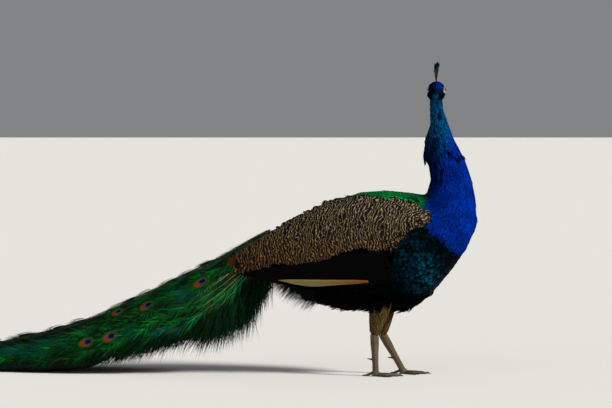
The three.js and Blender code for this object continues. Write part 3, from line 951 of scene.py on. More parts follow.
def cover(
    name, wanted, spacing, length, width, feather, material, slot,
    lift=8, seed=1, tint=None, vary=0.25, sink=0.0003,
):
    """Feathers spread over part of the skin, each lifted off it by some degrees."""
    places, normals, root, vertex = ground.spread(wanted, spacing, seed)
    lie = lie_of(places, normals, kinds[vertex])
    random = np.random.default_rng(seed + 50)
    side = np.cross(normals, lie)
    swing = np.radians(random.normal(0, WANDER, len(places)))[:, None]
    lie = lie * np.cos(swing) + side * np.sin(swing)
    rise = np.radians(lift * (0.6 + 0.8 * random.random(len(places))))[:, None]
    forward = lie * np.cos(rise) + normals * np.sin(rise)
    size = np.full((len(places), 3), (length, width, width)) / 1000
    tone = jitter((tint or body_tone)(places), vary, seed)
    roots = places - normals * sink
    return lay(name, feather, material, roots, forward, normals, size, tone, root, slot, seed=seed)


is_neck = ~on_wing & ~on_head & (kinds == "body") & (skin_z > 560)
is_body = (kinds == "body") & (skin_z <= 566)
is_blue = is_body & (skin_x > 140) & (skin_z > breast_foot(skin_x) - 8)
is_flank = is_body & (skin_x > 20) & ~is_blue & (skin_z > 262) & (skin_z < 500)
is_flank &= ~((skin_z > 462) & (skin_x < 70))


def silk_with_painted_folds(places):
    """The body's own blue with painted fold shading."""
    return body_tone(places) * painted_fold_shading(places, 0.28)[:, None]


def flecked(places):
    """The upper neck: some feathers are nearly black, most of all at the nape."""
    x, _, z = on_bird(places).T
    chance = np.random.default_rng(77).random(len(places))
    height = ease(680, 760, z) * (1 - 0.7 * ease(820, 850, z))
    share = 0.08 + 0.22 * ease(-30, 30, NAPE_LINE + 14 - x) * height
    return body_tone(places) * np.where(chance < share, 0.12, 1.0 + 0.5 * (chance > 0.8))[:, None]


def flank_with_painted_sheen(places):
    """Black with a dark teal sheen painted in as highlights, strongest low on the breast."""
    x, _, z = on_bird(places).T
    # Painted highlight: teal sheen in two soft spots, each feather taking a random share of it.
    painted_gleam = np.exp(-(((x - 168) / 46) ** 2) - ((z - 335) / 60) ** 2)
    painted_gleam = painted_gleam + 0.32 * np.exp(-(((x - 110) / 60) ** 2) - ((z - 400) / 70) ** 2)
    painted_gleam = painted_gleam * (0.15 + 1.2 * np.random.default_rng(7).random(len(x)) ** 1.5)
    return step_between(shade(0, 9, 12), shade(0, 96, 128), np.clip(painted_gleam, 0, 1))


def covert_brown(places):
    """The dark brown between the bars of the wing."""
    return np.tile(COVERT, (len(places), 1))


def shank_down(places):
    """Buff below, and black where the feathered leg comes out of the belly."""
    x, y, z = on_bird(places).T
    line = 214 + 0.4 * (x - 16) + 7 * np.sin(x / 5 + y / 7)
    return step_between(BUFF_TIBIA, BLACK, ease(-3, 3, z - line))


# Where, spacing in metres, length and width in millimetres, shape, finish and slot.
cover(
    "upper_neck_feathers", is_neck & (skin_z > 676), 0.0048, 12.5, 5, LONG_VANE, down_finish,
    "blue_plumage", lift=7, seed=3, tint=flecked, vary=0.3,
)
cover(
    "lower_neck_feathers", is_neck & (skin_z < 690), 0.0058, 16, 6, LONG_VANE, down_finish,
    "blue_plumage", lift=4, seed=13, tint=silk_with_painted_folds, vary=0.14,
)
cover(
    "breast_feathers", is_blue, 0.0064, 17, 7.5, LONG_VANE, down_finish,
    "blue_plumage", lift=4, seed=4, tint=silk_with_painted_folds, vary=0.14,
)
cover(
    "flank_feathers", is_flank, 0.0098, 20, 13.5, ROUND_VANE, scale_finish,
    "black_plumage", lift=5, seed=14, tint=flank_with_painted_sheen,
)
cover(
    "belly_feathers", is_body & ~is_blue & ~is_flank & (skin_z < 470), 0.0078, 20, 8, LOOSE_VANE,
    dark_finish, "black_plumage", lift=4, seed=5,
)
cover(
    "mantle_feathers", is_body & ~is_blue & ~is_flank & (skin_z >= 462), 0.0095, 18, 13, ROUND_VANE,
    scale_finish, "green_plumage", lift=12, seed=6, vary=1.0,
)
barred_skin = (kinds == "wing") & ~over_quills
for name, wanted, seed, sink in (
    ("covert_feathers_right", barred_skin & (skin_y < 0), 7, 0.0003),
    ("covert_feathers_left", barred_skin & (skin_y > 0), 8, 0.0003),
    ("covert_fringe", over_quills, 10, -0.0030),
):
    cover(
        name, wanted, 0.0066, 18, 11, ROUND_VANE, barred,
        "barred_plumage", lift=4, seed=seed, tint=covert_brown, sink=sink,
    )
face = bare_face(skin_at) > 0.35
cover(
    "head_feathers", on_head & ~face, 0.0026, 6.5, 3.4, LONG_VANE, down_finish,
    "blue_plumage", lift=8, seed=12, tint=crown_tone, sink=0.0001,
)
cover(
    "thigh_feathers", kinds == "thigh", 0.0048, 15, 3.6, LONG_VANE, dark_finish,
    "buff_plumage", lift=3, seed=9, tint=shank_down, vary=0.4,
)

# %% Colour the skin and let it stand for its solids
skin_tone = body_tone(skin_at)
skin_tone[kinds == "wing"] = COVERT
skin_tone[on_head] = head_tone(skin_at[on_head])
skin_tone[kinds == "quill"] = BLACK
skin_tone[kinds == "thigh"] = shank_down(skin_at[kinds == "thigh"])
# Painted shade: the skin that shows between the feathers is darkened to 45%, except the bare face.
under_coat_shade = np.where(bare_face(skin_at) * on_head > 0.3, 1.0, 0.45)[:, None]
carry_tone(skin.data, skin_tone * under_coat_shade)
under, tree, shader, place = finish("under_feathers", 0.8, Specular_IOR_Level=0.0)
paint(tree, shader, blend_of(tree, speckle(tree, place, 300.0), own_tone(tree), INK))
bump(tree, shader, speckle(tree, place, 500.0), 0.0008)
skin.data.materials.append(under)
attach(skin, "root")
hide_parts(*FLESH, *WINGS)
print("skin triangles:", triangles_of(skin.data))

# %% [markdown]
# ## The train
# The train is not the tail but the long feathers of the lower back that lie over it. Each has a
# thin shaft, loose green barbs on both sides and, on most, an eye near its tip. The solids of the
# train and tail give the bed that they lie on: every shaft runs along its surface, fanning out
# from the rump, and Geometry Nodes lay the barbs and the eyes along the shafts.

# %% The bed under the train
TRAIN = ["train_root", "train_middle", "train_rear", "train_end"]
bed = melted("train_bed", TRAIN + ["tail"], 0.006)
bed_rest = vertex_array(bed.data)
sink = np.where(bed_rest[:, 2] < 0.03, 0.003, 0.008)[:, None]
bed_soft = smoothed(bed.data, bed_rest, 5)
bed_at = bed_soft - vertex_array(bed.data, "normal") * sink
bed_at[:, 2] = np.where(bed_rest[:, 2] < 0.02, np.minimum(bed_rest[:, 2], bed_at[:, 2]), bed_at[:, 2])
bed_at[:, 2] = np.maximum(bed_at[:, 2], 0.0)
move_to(bed.data, bed_at)
unwrap(bed)
# The bed is a dark sheet of painted shade that shows between the barbs.
bed_shadow = mottled("train_shadow", shade(1, 10, 6), shade(2, 28, 16), 90, 0.6, 0.002, (0.3, 1, 1))
bed.data.materials.append(bed_shadow)
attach(bed, "root")
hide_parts(*TRAIN, "tail")

# %% Places along the train
TRAIN_LINE = np.array(
    [
        [-1400, 8, 40, 12], [-1346, 14, 66, 20], [-1238, 40, 116, 46], [-1060, 60, 144, 67],
        [-880, 99, 151, 91], [-780, 139, 149, 99], [-680, 180, 144, 110], [-580, 212, 136, 124],
        [-500, 247, 110, 129], [-430, 291, 66, 125], [-380, 334, 44, 112], [-320, 418, 32, 57],
        [-240, 473, 24, 37],
    ]
)
train_hull = hull_of(*(nodes[name].data for name in TRAIN))


def on_train(x, angle):
    """A place on the train's surface and its normal: x along the bird, angle round from the top."""
    middle, half, height = (np.interp(x, TRAIN_LINE[:, 0], TRAIN_LINE[:, i]) for i in (1, 2, 3))
    turn = math.radians(angle)
    ray = Vector((0, half * math.sin(turn), height * math.cos(turn))).normalized()
    start = Vector(at(x, 0, middle)) + ray * 0.5
    spot, normal, _, _ = train_hull.ray_cast(start, -ray)
    if spot is None or (spot - start).length > 0.498:
        return None
    if normal.dot(ray) < 0:
        normal = -normal
    return spot, (normal * 0.5 + ray * 0.5).normalized()


def plume(start, tip, angle_at_root, angle_at_tip):
    """Places, ways forward and normals along one shaft that runs from start to tip (millimetres)."""
    count = max(int((start - tip) / 12), 6)
    line, up = [], []
    for t in np.linspace(0, 1, count):
        angle = angle_at_root + (angle_at_tip - angle_at_root) * t**0.8
        found = on_train(start + (tip - start) * t, angle)
        if found:
            line.append(tuple(found[0]))
            up.append(tuple(found[1]))
    line, up = np.array(line), np.array(up)
    for _ in range(4):
        line[1:-1] = (line[:-2] + line[1:-1] * 2 + line[2:]) / 4
        up[1:-1] = (up[:-2] + up[1:-1] * 2 + up[2:]) / 4
    return line, unit(np.gradient(line, axis=0)), unit(up)


# Places of eyes: millimetres along the bird, degrees round from the train's top, and size.
SIDE_EYES = [(-538, -56, 1.0), (-707, -58, 1.0), (-814, -42, 0.8)]
SIDE_EYES += [(-722, -32, 0.8), (-900, -82, 1.0), (-823, -86, 1.0)]
END_PLUMES = [(-1420, 6), (-1404, 48), (-1396, -42), (-1366, 88), (-1358, -84)]
FIRST_ROOT, TRAIN_END, PLUME_LONG, END_PLUME_LONG = -330, -1390, 520, 560
ROW_STEP, EYE_GAP_LONG, EYE_GAP_TURN = 58, 56, 22
chance = np.random.default_rng(11)
plan = list(SIDE_EYES)
for row, x in enumerate(np.arange(-500, -1400, -ROW_STEP)):
    for angle in np.arange(-112, 113, 28 if x > -1200 else 34):
        spot = (x + chance.normal(0, 12), angle + (14 if row % 2 else 0) + chance.normal(0, 4))
        if all(abs(spot[0] - x0) > EYE_GAP_LONG or abs(spot[1] - a0) > EYE_GAP_TURN for x0, a0, _ in plan):
            eyeless = spot[1] < (8 if spot[0] > -1010 else -14)
            plan.append((*spot, 0 if eyeless else 0.8 + 0.2 * chance.random()))
plumes = []
for tip, angle, scale in plan:
    start = min(FIRST_ROOT, tip + PLUME_LONG) + chance.normal(0, 12)
    plumes.append((plume(start, max(tip, TRAIN_END), angle * 0.5, angle), scale))
for tip, angle in END_PLUMES:
    plumes.append((plume(tip + END_PLUME_LONG, tip + 30, angle * 0.5, angle * 0.9), 0.9))
print("plumes:", len(plumes))

# %% Barbs along every shaft
BARB_STEP, BARB_LONG, BARBED_LENGTH, COVERTS_END = 0.0036, 0.070, 0.4, -350
barbs, shaft_lines = [], []
LIGHT_GREEN, DEEP_GREEN = shade(18, 172, 58), shade(0, 18, 10)
BLUE_GREEN, GOLD_GREEN = shade(0, 120, 104), shade(84, 96, 20)
# Spots of painted blue sheen on the train's right side: x, height, half length and half height in
# millimetres.
PAINTED_SHEEN = [(-572, 270, 75, 14), (-604, 145, 130, 20), (-1008, 98, 55, 9), (-1120, 70, 90, 14)]


def sheen(bird):
    """How strong the painted blue sheen is at a place on the train's right side: spots of painted reflection.
    """
    if bird[1] > -20:
        return 0
    spots = [((bird[0] - x) / long, (bird[2] - z) / high) for x, z, long, high in PAINTED_SHEEN]
    return max(math.exp(-(across**2) - up**2) for across, up in spots)


def columns(rows):
    """Rows of (place, forward, up, size, colour) as five arrays."""
    return [np.array(column) for column in zip(*rows)]


for (line, ahead, up), scale in plumes:
    reach = np.concatenate([[0], np.cumsum(np.linalg.norm(np.diff(line, axis=0), axis=1))])
    total = reach[-1]
    clear = (on_bird(line)[:, 0] < COVERTS_END - 2) | (up[:, 2] < 0.2)
    shaft_lines.append((line[clear], up[clear]))
    lit, phase, blue = chance.uniform(0.15, 1.3) ** 1.4, chance.uniform(0, 6.3), chance.random() < 0.3
    for s in np.arange(max(0.0, total - BARBED_LENGTH), total - 0.004, BARB_STEP):
        here = np.array([np.interp(s, reach, line[:, k]) for k in range(3)])
        way = unit(np.array([np.interp(s, reach, ahead[:, k]) for k in range(3)]))
        top = unit(np.array([np.interp(s, reach, up[:, k]) for k in range(3)]))
        left = np.cross(top, way)
        near_tip, bird = s / total, on_bird(here)
        bare_start = 0.55 + 0.45 * float(ease(340, 470, -bird[0]))
        # The painted sheen at this place, and a random brightness along each plume.
        painted_glow, streak = sheen(bird), lit * (0.85 + 0.5 * math.sin(s * 40 + phase))
        if bird[0] > COVERTS_END and top[2] > 0.2:
            continue
        for hand in (-1, 1):
            spread = math.radians(abs(chance.normal(19, 9)))
            rise = math.radians(chance.normal(6 - 5 * max(top[2], 0), 4))
            out = way * math.cos(spread) + left * hand * math.sin(spread)
            out = out * math.cos(rise) + top * math.sin(rise)
            long = (BARB_LONG - 0.022 * near_tip) * (0.7 + 0.6 * chance.random()) * bare_start
            size = (long, 0.0013 + 0.0009 * chance.random(), long)
            mix = min(chance.random() ** 2.0 * streak + painted_glow * chance.uniform(0.2, 0.9), 1.25)
            bright = BLUE_GREEN if chance.random() < 0.08 + 0.4 * blue + 0.8 * painted_glow else LIGHT_GREEN
            tone = np.array(bright) * mix + np.array(DEEP_GREEN) * max(1 - mix, 0)
            if chance.random() < 0.04:
                tone = np.array(GOLD_GREEN)
            barbs.append((here + top * 0.001, out, top, size, tone))
barbs = columns(barbs)
print("barbs:", len(barbs[0]))

# %% Lay the barbs in pieces of moderate size
bed_hull = hull_of(bed.data)


def over(places):
    """A place on the bed's unwrap for each place: the map of the nearest face of the bed."""
    layer = bed.data.uv_layers["OFBake"].data
    faces = [bed.data.polygons[bed_hull.find_nearest(Vector(p))[2]] for p in places]
    return np.array([layer[face.loop_start].uv[:] for face in faces])


TRAIN_HALF_WIDTH = 0.148


def settle(piece):
    """Nothing of a piece reaches below the floor, and what spreads wider than the train lies closer in."""
    places = vertex_array(piece.data)
    places[:, 2] = np.maximum(places[:, 2], 0.0006)
    wide = np.abs(places[:, 1])
    near = TRAIN_HALF_WIDTH + (wide - TRAIN_HALF_WIDTH) * 0.3
    places[:, 1] = np.sign(places[:, 1]) * np.where(wide > TRAIN_HALF_WIDTH, near, wide)
    move_to(piece.data, places)


barb_roots = over(barbs[0])
bird_x = on_bird(barbs[0])[:, 0]
cuts = np.quantile(bird_x, [0, 0.25, 0.5, 0.75, 1])
for number in range(4):
    here = (bird_x >= cuts[number]) & (bird_x <= cuts[number + 1])
    name, rows = f"train_barbs_{number + 1}", [column[here] for column in barbs]
    settle(lay(name, BARB, barb_finish, *rows, barb_roots[here], "train", seed=20 + number))

# %% [markdown]
# ## Shafts and eyes
# A shaft is a thin quill, swept as a narrow tube along its line: green among the barbs, with a
# pale one over it where it is bare near the root. An eye is a thin cupped disc: a blue-black
# heart, a turquoise ring, a broad copper field and green rims, drawn in the feather's own map,
# so that it turns with the feather.

# %% Sweep the shafts


def dressed(name, work, material):
    """One piece of a mesh under work, with its finish, riding on the bird."""
    piece = linked(name, work)
    piece.data.materials.append(material)
    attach(piece, "root")
    print(name, "triangles:", triangles_of(piece.data))
    return piece


def swept(name, lines, width, material, sides=3, taper=0.35):
    """Thin tubes along lines of places, narrowing towards their tips."""
    work = bmesh.new()
    layer = work.loops.layers.uv.new("OFBake")
    for number, (line, up) in enumerate(lines):
        ahead = unit(np.gradient(line, axis=0))
        left = unit(np.cross(up, ahead))
        top = np.cross(ahead, left)
        rings = []
        for i, spot in enumerate(line):
            t = i / (len(line) - 1)
            radius = width / 2 * (1 - (1 - taper) * t)
            turn = [math.tau * k / sides + 0.5 for k in range(sides)]
            ways = [left[i] * math.cos(a) + top[i] * math.sin(a) for a in turn]
            rings.append([work.verts.new(spot + way * radius) for way in ways])
        for i in range(len(rings) - 1):
            for k in range(sides):
                n = (k + 1) % sides
                face = work.faces.new((rings[i][k], rings[i][n], rings[i + 1][n], rings[i + 1][k]))
                face.smooth = True
                row = (number + (k + 0.5) / sides * 0.8) / len(lines)
                for loop, t in zip(face.loops, (i, i, i + 1, i + 1)):
                    loop[layer].uv = (0.02 + 0.96 * t / len(rings), row + (0.1 / len(lines) if t == i else 0))
        work.faces.new(rings[0][::-1])
        work.faces.new(rings[-1])
    bmesh.ops.recalc_face_normals(work, faces=work.faces)
    return dressed(name, work, material)


pale_quill = mottled("pale_quill", shade(96, 92, 70), shade(170, 162, 132), 120, 0.5, 0.0002)
green_quill = mottled("green_quill", shade(18, 34, 12), shade(60, 66, 34), 120, 0.5, 0.0002)
DIM_OFF, BARE_OFF, BARE_END = 0.0012, 0.0028, -585
bare, dim = [], []
for line, up in shaft_lines:
    bird_line = on_bird(line)
    low = (bird_line[:, 1] < 0) & (up[:, 2] < 0.45) & (bird_line[:, 0] > BARE_END)
    if low.sum() > 6:
        bare.append((line[low] + up[low] * BARE_OFF, up[low]))
    dim.append((line + up * DIM_OFF, up))
settle(swept("train_shafts", dim, 0.0014, green_quill))
settle(swept("bare_shafts", bare, 0.0017, pale_quill))

# %% The eye of a train feather
EYE_GROUND = shade(6, 70, 24)
EYE_RINGS = (
    (0.50, 0.48, 0.47, shade(44, 70, 8)),
    (0.50, 0.44, 0.42, shade(0, 62, 24)),
    (0.53, 0.36, 0.33, shade(120, 52, 18)),
    (0.41, 0.22, 0.25, shade(0, 58, 84)),
    (0.38, 0.17, 0.20, shade(2, 6, 66)),
)


def eye_finish():
    """Rings of colour in the feather's own map: (middle, half length, half width, colour)."""
    made, tree, shader, _ = finish("train_eye", 0.36, 0.35)
    along, across = vane_axes(tree)
    colour = EYE_GROUND
    for middle, long, wide, inside in EYE_RINGS:
        u = reckon(tree, "DIVIDE", reckon(tree, "SUBTRACT", along, middle), long)
        v = reckon(tree, "DIVIDE", reckon(tree, "SUBTRACT", across, 0.5), wide)
        out = reckon(tree, "SQRT", reckon(tree, "ADD", times(tree, u, u), times(tree, v, v)))
        colour = blend_of(tree, ramp(tree, out, 0.94, 1.04, 1.0, 0.0), colour, inside)
    paint(tree, shader, colour)
    return made


DISC_RINGS, DISC_SIDES = 3, 16


def disc_shape(name):
    """A cupped oval disc one long, base at the origin, with its own map."""
    work = bmesh.new()
    vane = work.loops.layers.uv.new("vane")
    centre = work.verts.new((0.5, 0, 0.03))
    last = None
    for ring in range(1, DISC_RINGS + 1):
        r = ring / DISC_RINGS
        line = []
        for k in range(DISC_SIDES):
            a = math.tau * k / DISC_SIDES
            spot = (0.5 + 0.5 * r * math.cos(a), 0.42 * r * math.sin(a), 0.03 - 0.05 * r * r)
            line.append(work.verts.new(spot))
        for k in range(DISC_SIDES):
            n = (k + 1) % DISC_SIDES
            corners = (last[k], line[k], line[n], last[n]) if last else (centre, line[k], line[n])
            work.faces.new(corners)
        last = line
    for face in work.faces:
        face.smooth = True
        for loop in face.loops:
            loop[vane].uv = (loop.vert.co.x, 0.5 + loop.vert.co.y / 0.84)
    return template(name, work)


EYE_DISC = disc_shape("eye_disc_vane")
EYE_LONG, EYE_WIDTH = 0.063, 0.7
eyes = [(line, ahead, up, scale) for (line, ahead, up), scale in plumes if scale]
base = np.array([line[-1] - ahead[-1] * 0.012 + up[-1] * 0.007 for line, ahead, up, _ in eyes])
aim = np.array([unit(ahead[-1] + up[-1] * 0.06) for _, ahead, up, _ in eyes])
top = np.array([up[-1] for _, _, up, _ in eyes])
size = np.array([[EYE_LONG * s, EYE_LONG * s * EYE_WIDTH, EYE_LONG * s] for *_, s in eyes])
cells = math.ceil(math.sqrt(len(eyes)))
grid = np.array([((i % cells + 0.5) / cells, (i // cells + 0.5) / cells) for i in range(len(eyes))])
plain = np.ones((len(eyes), 3))
eye_piece = lay(
    "train_eyes", EYE_DISC, eye_finish(), base, aim, top, size, plain, grid, "train",
    spread=0.08, patch=0.9 / cells, seed=31,
)
settle(eye_piece)

# %% A fringe round each eye
FRINGE_SIZE = (0.030, 0.0026, 0.030)
fringe = []
for spot, way, up, (long, _, _) in zip(base, aim, top, size):
    left = np.cross(up, way)
    middle = spot + way * long * 0.5
    for turn in np.radians(np.arange(-130, 131, 8)):
        out = way * math.cos(turn) + left * math.sin(turn)
        rim = middle + (way * math.cos(turn) * 0.46 + left * math.sin(turn) * 0.38) * long - up * 0.001
        tone = np.array(LIGHT_GREEN) * (0.1 + 0.7 * chance.random() ** 2)
        fringe.append((rim, unit(out + way * 0.7 - up * 0.05), up, FRINGE_SIZE, tone))
fringe = columns(fringe)
settle(lay("eye_fringes", BARB, barb_finish, *fringe, over(fringe[0]), "train", seed=33))

# %% [markdown]
# ## Loose feathers
# Where the coat isn't flat it hangs in separate tufts: a ruffled collar on the nape, where the
# turned neck bunches its feathers, the fringe of the belly, and long soft barbs that hang from
# the root and the lower edges of the train.

# %% Tufts of the neck, the belly and the rear


def ruffle(
    name, wanted, spacing, length, width, out, down, tone_at, material, slot, seed,
    feather=LOOSE_VANE,
):
    """Tufts spread over part of the skin that point between outwards and straight down."""
    places, normals, root, vertex = ground.spread(wanted, spacing, seed)
    random = np.random.default_rng(seed)
    lie = lie_of(places, normals, kinds[vertex])
    forward = lie + normals * out * random.random((len(places), 1)) * 2 + np.array([0, 0, -1.0]) * down
    forward = unit(forward + random.normal(0, 0.10, (len(places), 3)))
    size = np.full((len(places), 3), (length, width, length), float)
    size[:, 0] *= 0.6 + 0.8 * random.random(len(places))
    size /= 1000
    tone = jitter(tone_at(places), 0.5, seed)
    places = places - normals * 0.001
    rows = (places, forward, normals, size, tone, root)
    return lay(name, feather, material, *rows, slot, spread=0.3, seed=seed)


def darker(share):
    """The body's own colours, darkened to a share of their light."""
    return lambda places: body_tone(places) * share


def rear_dark(places):
    """Black with a little green under the root of the train."""
    return np.tile(shade(3, 14, 9), (len(places), 1))


# Where, spacing in metres, length and width in millimetres, and how far out and down they point.
nape = is_neck & (skin_x < NAPE_LINE) & (np.abs(skin_z - 733) < 32)
ruffle("nape_tufts", nape, 0.0058, 38, 5, 0.07, 0.25, darker(0.7), down_finish, "blue_plumage", 51)
# Along the fold the tufts are darkened to 14%: dark feather tips and painted shade under the fold.
fold_line = 702 + 10 * np.cos((skin_x - 216) / 13)
fold = is_neck & (skin_x > 186) & (np.abs(skin_z - fold_line) < 9)
ruffle(
    "neck_fold_tufts", fold, 0.0042, 20, 4.5, 0.2, 0.0, darker(0.14), down_finish,
    "blue_plumage", 53,
)
# Tufts darkened to 8%: painted shade on the front of the neck below the fold.
shaded = is_neck & (skin_x > 176) & (skin_x < 214) & (skin_y < 10) & (skin_z > 610) & (skin_z < 688)
ruffle(
    "loose_neck_tufts", shaded, 0.0075, 28, 5, 0.10, 0.0, darker(0.08), down_finish,
    "blue_plumage", 54,
)
fringe_skin = is_body & (skin_z < 272) & (skin_x > -230) & (skin_x < 175)
ruffle(
    "belly_fringe", fringe_skin, 0.0062, 20, 3, 0.05, 0.8, body_tone, dark_finish,
    "black_plumage", 52,
)
rear_skin = is_body & (skin_z < 330) & (skin_x <= -190)
ruffle(
    "rear_down", rear_skin, 0.0040, 46, 1.5, 0.10, 1.4, rear_dark, barb_finish,
    "black_plumage", 55, BARB,
)

# %% Barbs that hang from the train's root and lower edges
HANGING = 7600
hang = []
chance = np.random.default_rng(61)
for _ in range(HANGING):
    x = -312 - 250 * chance.random() ** 1.3 if chance.random() < 0.4 else chance.uniform(-960, -400)
    angle = chance.choice([-1, 1]) * chance.uniform(78, 150)
    found = on_train(x, angle)
    if not found:
        continue
    near_root = ease(-620, -420, x)
    spot, normal = np.array(found[0]), np.array(found[1])
    if spot[2] < 0.045:
        continue
    drop = np.array([-0.62 + 0.40 * near_root, 0.10 * np.sign(spot[1]), -0.68 - 0.4 * near_root])
    way = unit(drop + normal * 0.12 + chance.normal(0, 0.17, 3))
    upward = unit(np.array([0.1, np.sign(spot[1]), 0.2]))
    long = min((0.066 + 0.026 * near_root) * chance.uniform(0.5, 1.4), spot[2] * 0.95)
    tone = np.array(shade(10, 76, 30)) * chance.uniform(0.1, 1.0) ** 2.2
    hang.append((spot - normal * 0.008, way, upward, (long, 0.0014, long), tone))
hang = columns(hang)
settle(lay("hanging_barbs", BARB, barb_finish, *hang, over(hang[0]), "train", seed=62))

# %% [markdown]
# ## Flight feathers
# Below the barred coverts lie the edges of the black secondaries, and below them the rust and
# olive primaries. They are long and few, so each is swept on its own along a line drawn on the
# side of the bird, a little above the skin, and each overlaps the one under it.

# %% Lines drawn on the side of the bird
skin_hull = hull_of(skin.data)


def drawn(points, side, off, steps):
    """A line through (x, z) points in millimetres, laid on the skin's side (-1 right, 1 left)."""
    x, z = np.array(points, float).T
    t = np.linspace(0, 1, len(x))
    line, up = [], []
    for s in np.linspace(0, 1, steps):
        start = Vector(at(np.interp(s, t, x), 300 * side, np.interp(s, t, z)))
        spot, normal, _, _ = skin_hull.ray_cast(start, Vector((0, -side, 0)))
        if spot is None:
            spot, normal = Vector(line[-1]) * 2 - Vector(line[-2]), Vector(up[-1])
        normal = (normal + Vector((0, side * 0.6, 0))).normalized()
        line.append(tuple(spot))
        up.append(tuple(normal))
    line, up = np.array(line), np.array(up)
    for _ in range(3):
        line[1:-1] = (line[:-2] + line[1:-1] * 2 + line[2:]) / 4
    return line + up * off, up


# %% Long vanes along lines


VANE_WIDTHS = ([0, 0.15, 0.75, 0.92, 1], [0.5, 0.9, 1, 0.75, 0.15])
STRIPS = 4


def long_vanes(name, feathers, material):
    """Each feather: (line, up, width, tone), wide in the middle, round at the tip."""
    work = bmesh.new()
    vane, bake = work.loops.layers.uv.new("vane"), work.loops.layers.uv.new("OFBake")
    tint = work.verts.layers.float_color.new("tone")
    for number, (line, up, width, tone) in enumerate(feathers):
        ahead = unit(np.gradient(line, axis=0))
        left = unit(np.cross(up, ahead))
        rows = []
        for i, spot in enumerate(line):
            u = i / (len(line) - 1)
            half = width / 2 * float(np.interp(u, *VANE_WIDTHS))
            row = []
            for j in range(STRIPS + 1):
                v = j / STRIPS * 2 - 1
                vert = work.verts.new(spot + left[i] * v * half - up[i] * half * 0.22 * v * v)
                vert[tint] = (*tone, 1)
                row.append((vert, u, (v + 1) / 2))
            rows.append(row)
        for i in range(len(rows) - 1):
            for j in range(STRIPS):
                ring = [rows[i][j], rows[i + 1][j], rows[i + 1][j + 1], rows[i][j + 1]]
                face = work.faces.new([r[0] for r in ring])
                face.smooth = True
                for loop, (_, u, v) in zip(face.loops, ring):
                    loop[vane].uv = (u, v)
                    loop[bake].uv = (0.02 + 0.96 * u, (number + 0.1 + 0.8 * v) / len(feathers))
    return dressed(name, work, material)


quills = {"secondaries": [], "primaries": []}
for side in (-1, 1):
    for k in range(11):
        t = k / 10
        points = [(70 - 30 * t, 303 + 90 * t), (-60, 301 + 80 * t)]
        points += [(-200, 300 + 50 * t), (-330 - 90 * t, 296 + 26 * t)]
        line, up = drawn(points, side, 0.0015 + 0.0004 * k, 18)
        quills["secondaries"].append((line, up, 0.024, np.array(BLACK) * (0.7 + 0.05 * k)))
    for k in range(4):
        t = k / 3
        points = [(-18, 305 - 3 * t), (-110, 304 - 9 * t)]
        points += [(-200, 303 - 15 * t), (-304 + 26 * t, 304 - 6 * t)]
        line, up = drawn(points, side, 0.0065 - 0.0008 * k, 20)
        quills["primaries"].append((line, up, 0.0085, step_between(OLIVE, RUFOUS, [0.1])[0]))
quill_black = vane_finish("black_quill", 0.5, 0.0, gloss=0.03)
long_vanes("secondary_feathers", quills["secondaries"], quill_black)


def primary_finish():
    """Rust at the root, running out to pale olive."""
    made, tree, shader, place = finish("primary_quill", 0.5)
    along, _ = vane_axes(tree)
    colour = blend_of(tree, ramp(tree, along, 0.05, 0.6), RUFOUS, OLIVE)
    colour = blend_of(tree, times(tree, speckle(tree, place, 90.0), 0.5), colour, shade(80, 60, 30))
    paint(tree, shader, colour)
    bump(tree, shader, reckon(tree, "SINE", times(tree, along, 500.0)), 0.0003, 0.4)
    return made


long_vanes("primary_feathers", quills["primaries"], primary_finish())

# %% Rust tips that show behind the coverts
tips = []
for side in (-1, 1):
    for k in range(3):
        points = [(-446, 350 + 8 * k), (-474, 346 + 9 * k), (-496 + 4 * k, 345 + 9 * k)]
        line, up = drawn(points, side, 0.0035, 10)
        tips.append((line, up, 0.011, np.array(RUFOUS)))
long_vanes("rust_tips", tips, vane_finish("rust_vane", 0.5, 0.0))

# %% [markdown]
# ## The face
# A peacock's face has bare white skin in two bands, over and under the eye, with a black stripe
# through it from the bill. The lids are rings that lie close on the ball, thick at the rim.

# %% Lids
EYE_PLACE = np.array([9.0, 20.6, 5.0])


def on_head_frame(along, left, up):
    """A place on the head (towards the bill, left, up) in the frame, in metres."""
    spot = HEAD_CENTRE + BILLWARD * along + HEAD_LEFT * left + np.array([0, 0, up])
    return at(*spot)


def closed_rings(name, parts, material, caps=False):
    """Skins the rings of places of each part into one smooth piece."""
    work = bmesh.new()
    skins = [[[work.verts.new(p) for p in ring] for ring in part] for part in parts]
    for rings in skins:
        for first, second in zip(rings[:-1], rings[1:]):
            for k in range(len(first)):
                n = (k + 1) % len(first)
                work.faces.new((first[k], first[n], second[n], second[k])).smooth = True
        if caps:
            work.faces.new(rings[0][::-1])
            work.faces.new(rings[-1])
    bmesh.ops.recalc_face_normals(work, faces=work.faces)
    return dressed(name, work, material)


ROUND = np.arange(28) * math.tau / 28
# How far out from the opening each ring lies (0 to 1) and its distance from the ball's middle.
LID_RINGS = ((0.0, 5.9), (0.0, 7.0), (0.35, 7.55), (0.75, 7.3), (1.0, 6.3))
lids = []
for hand in (-1, 1):
    lid = []
    for opening, ball in LID_RINGS:
        ring = []
        for a in ROUND:
            wide = (5.5 + 3.0 * opening) * math.cos(a)
            tall = (3.9 + 3.4 * opening) * math.sin(a) * (1 - 0.18 * math.cos(a))
            out = math.sqrt(max(ball**2 - min(wide**2 + tall**2, ball**2 * 0.98), 0.4))
            ring.append(on_head_frame(EYE_PLACE[0] + wide, hand * (EYE_PLACE[1] + out), EYE_PLACE[2] + tall))
        lid.append(ring)
    lids.append(lid)
closed_rings("eyelids", lids, lid_skin)

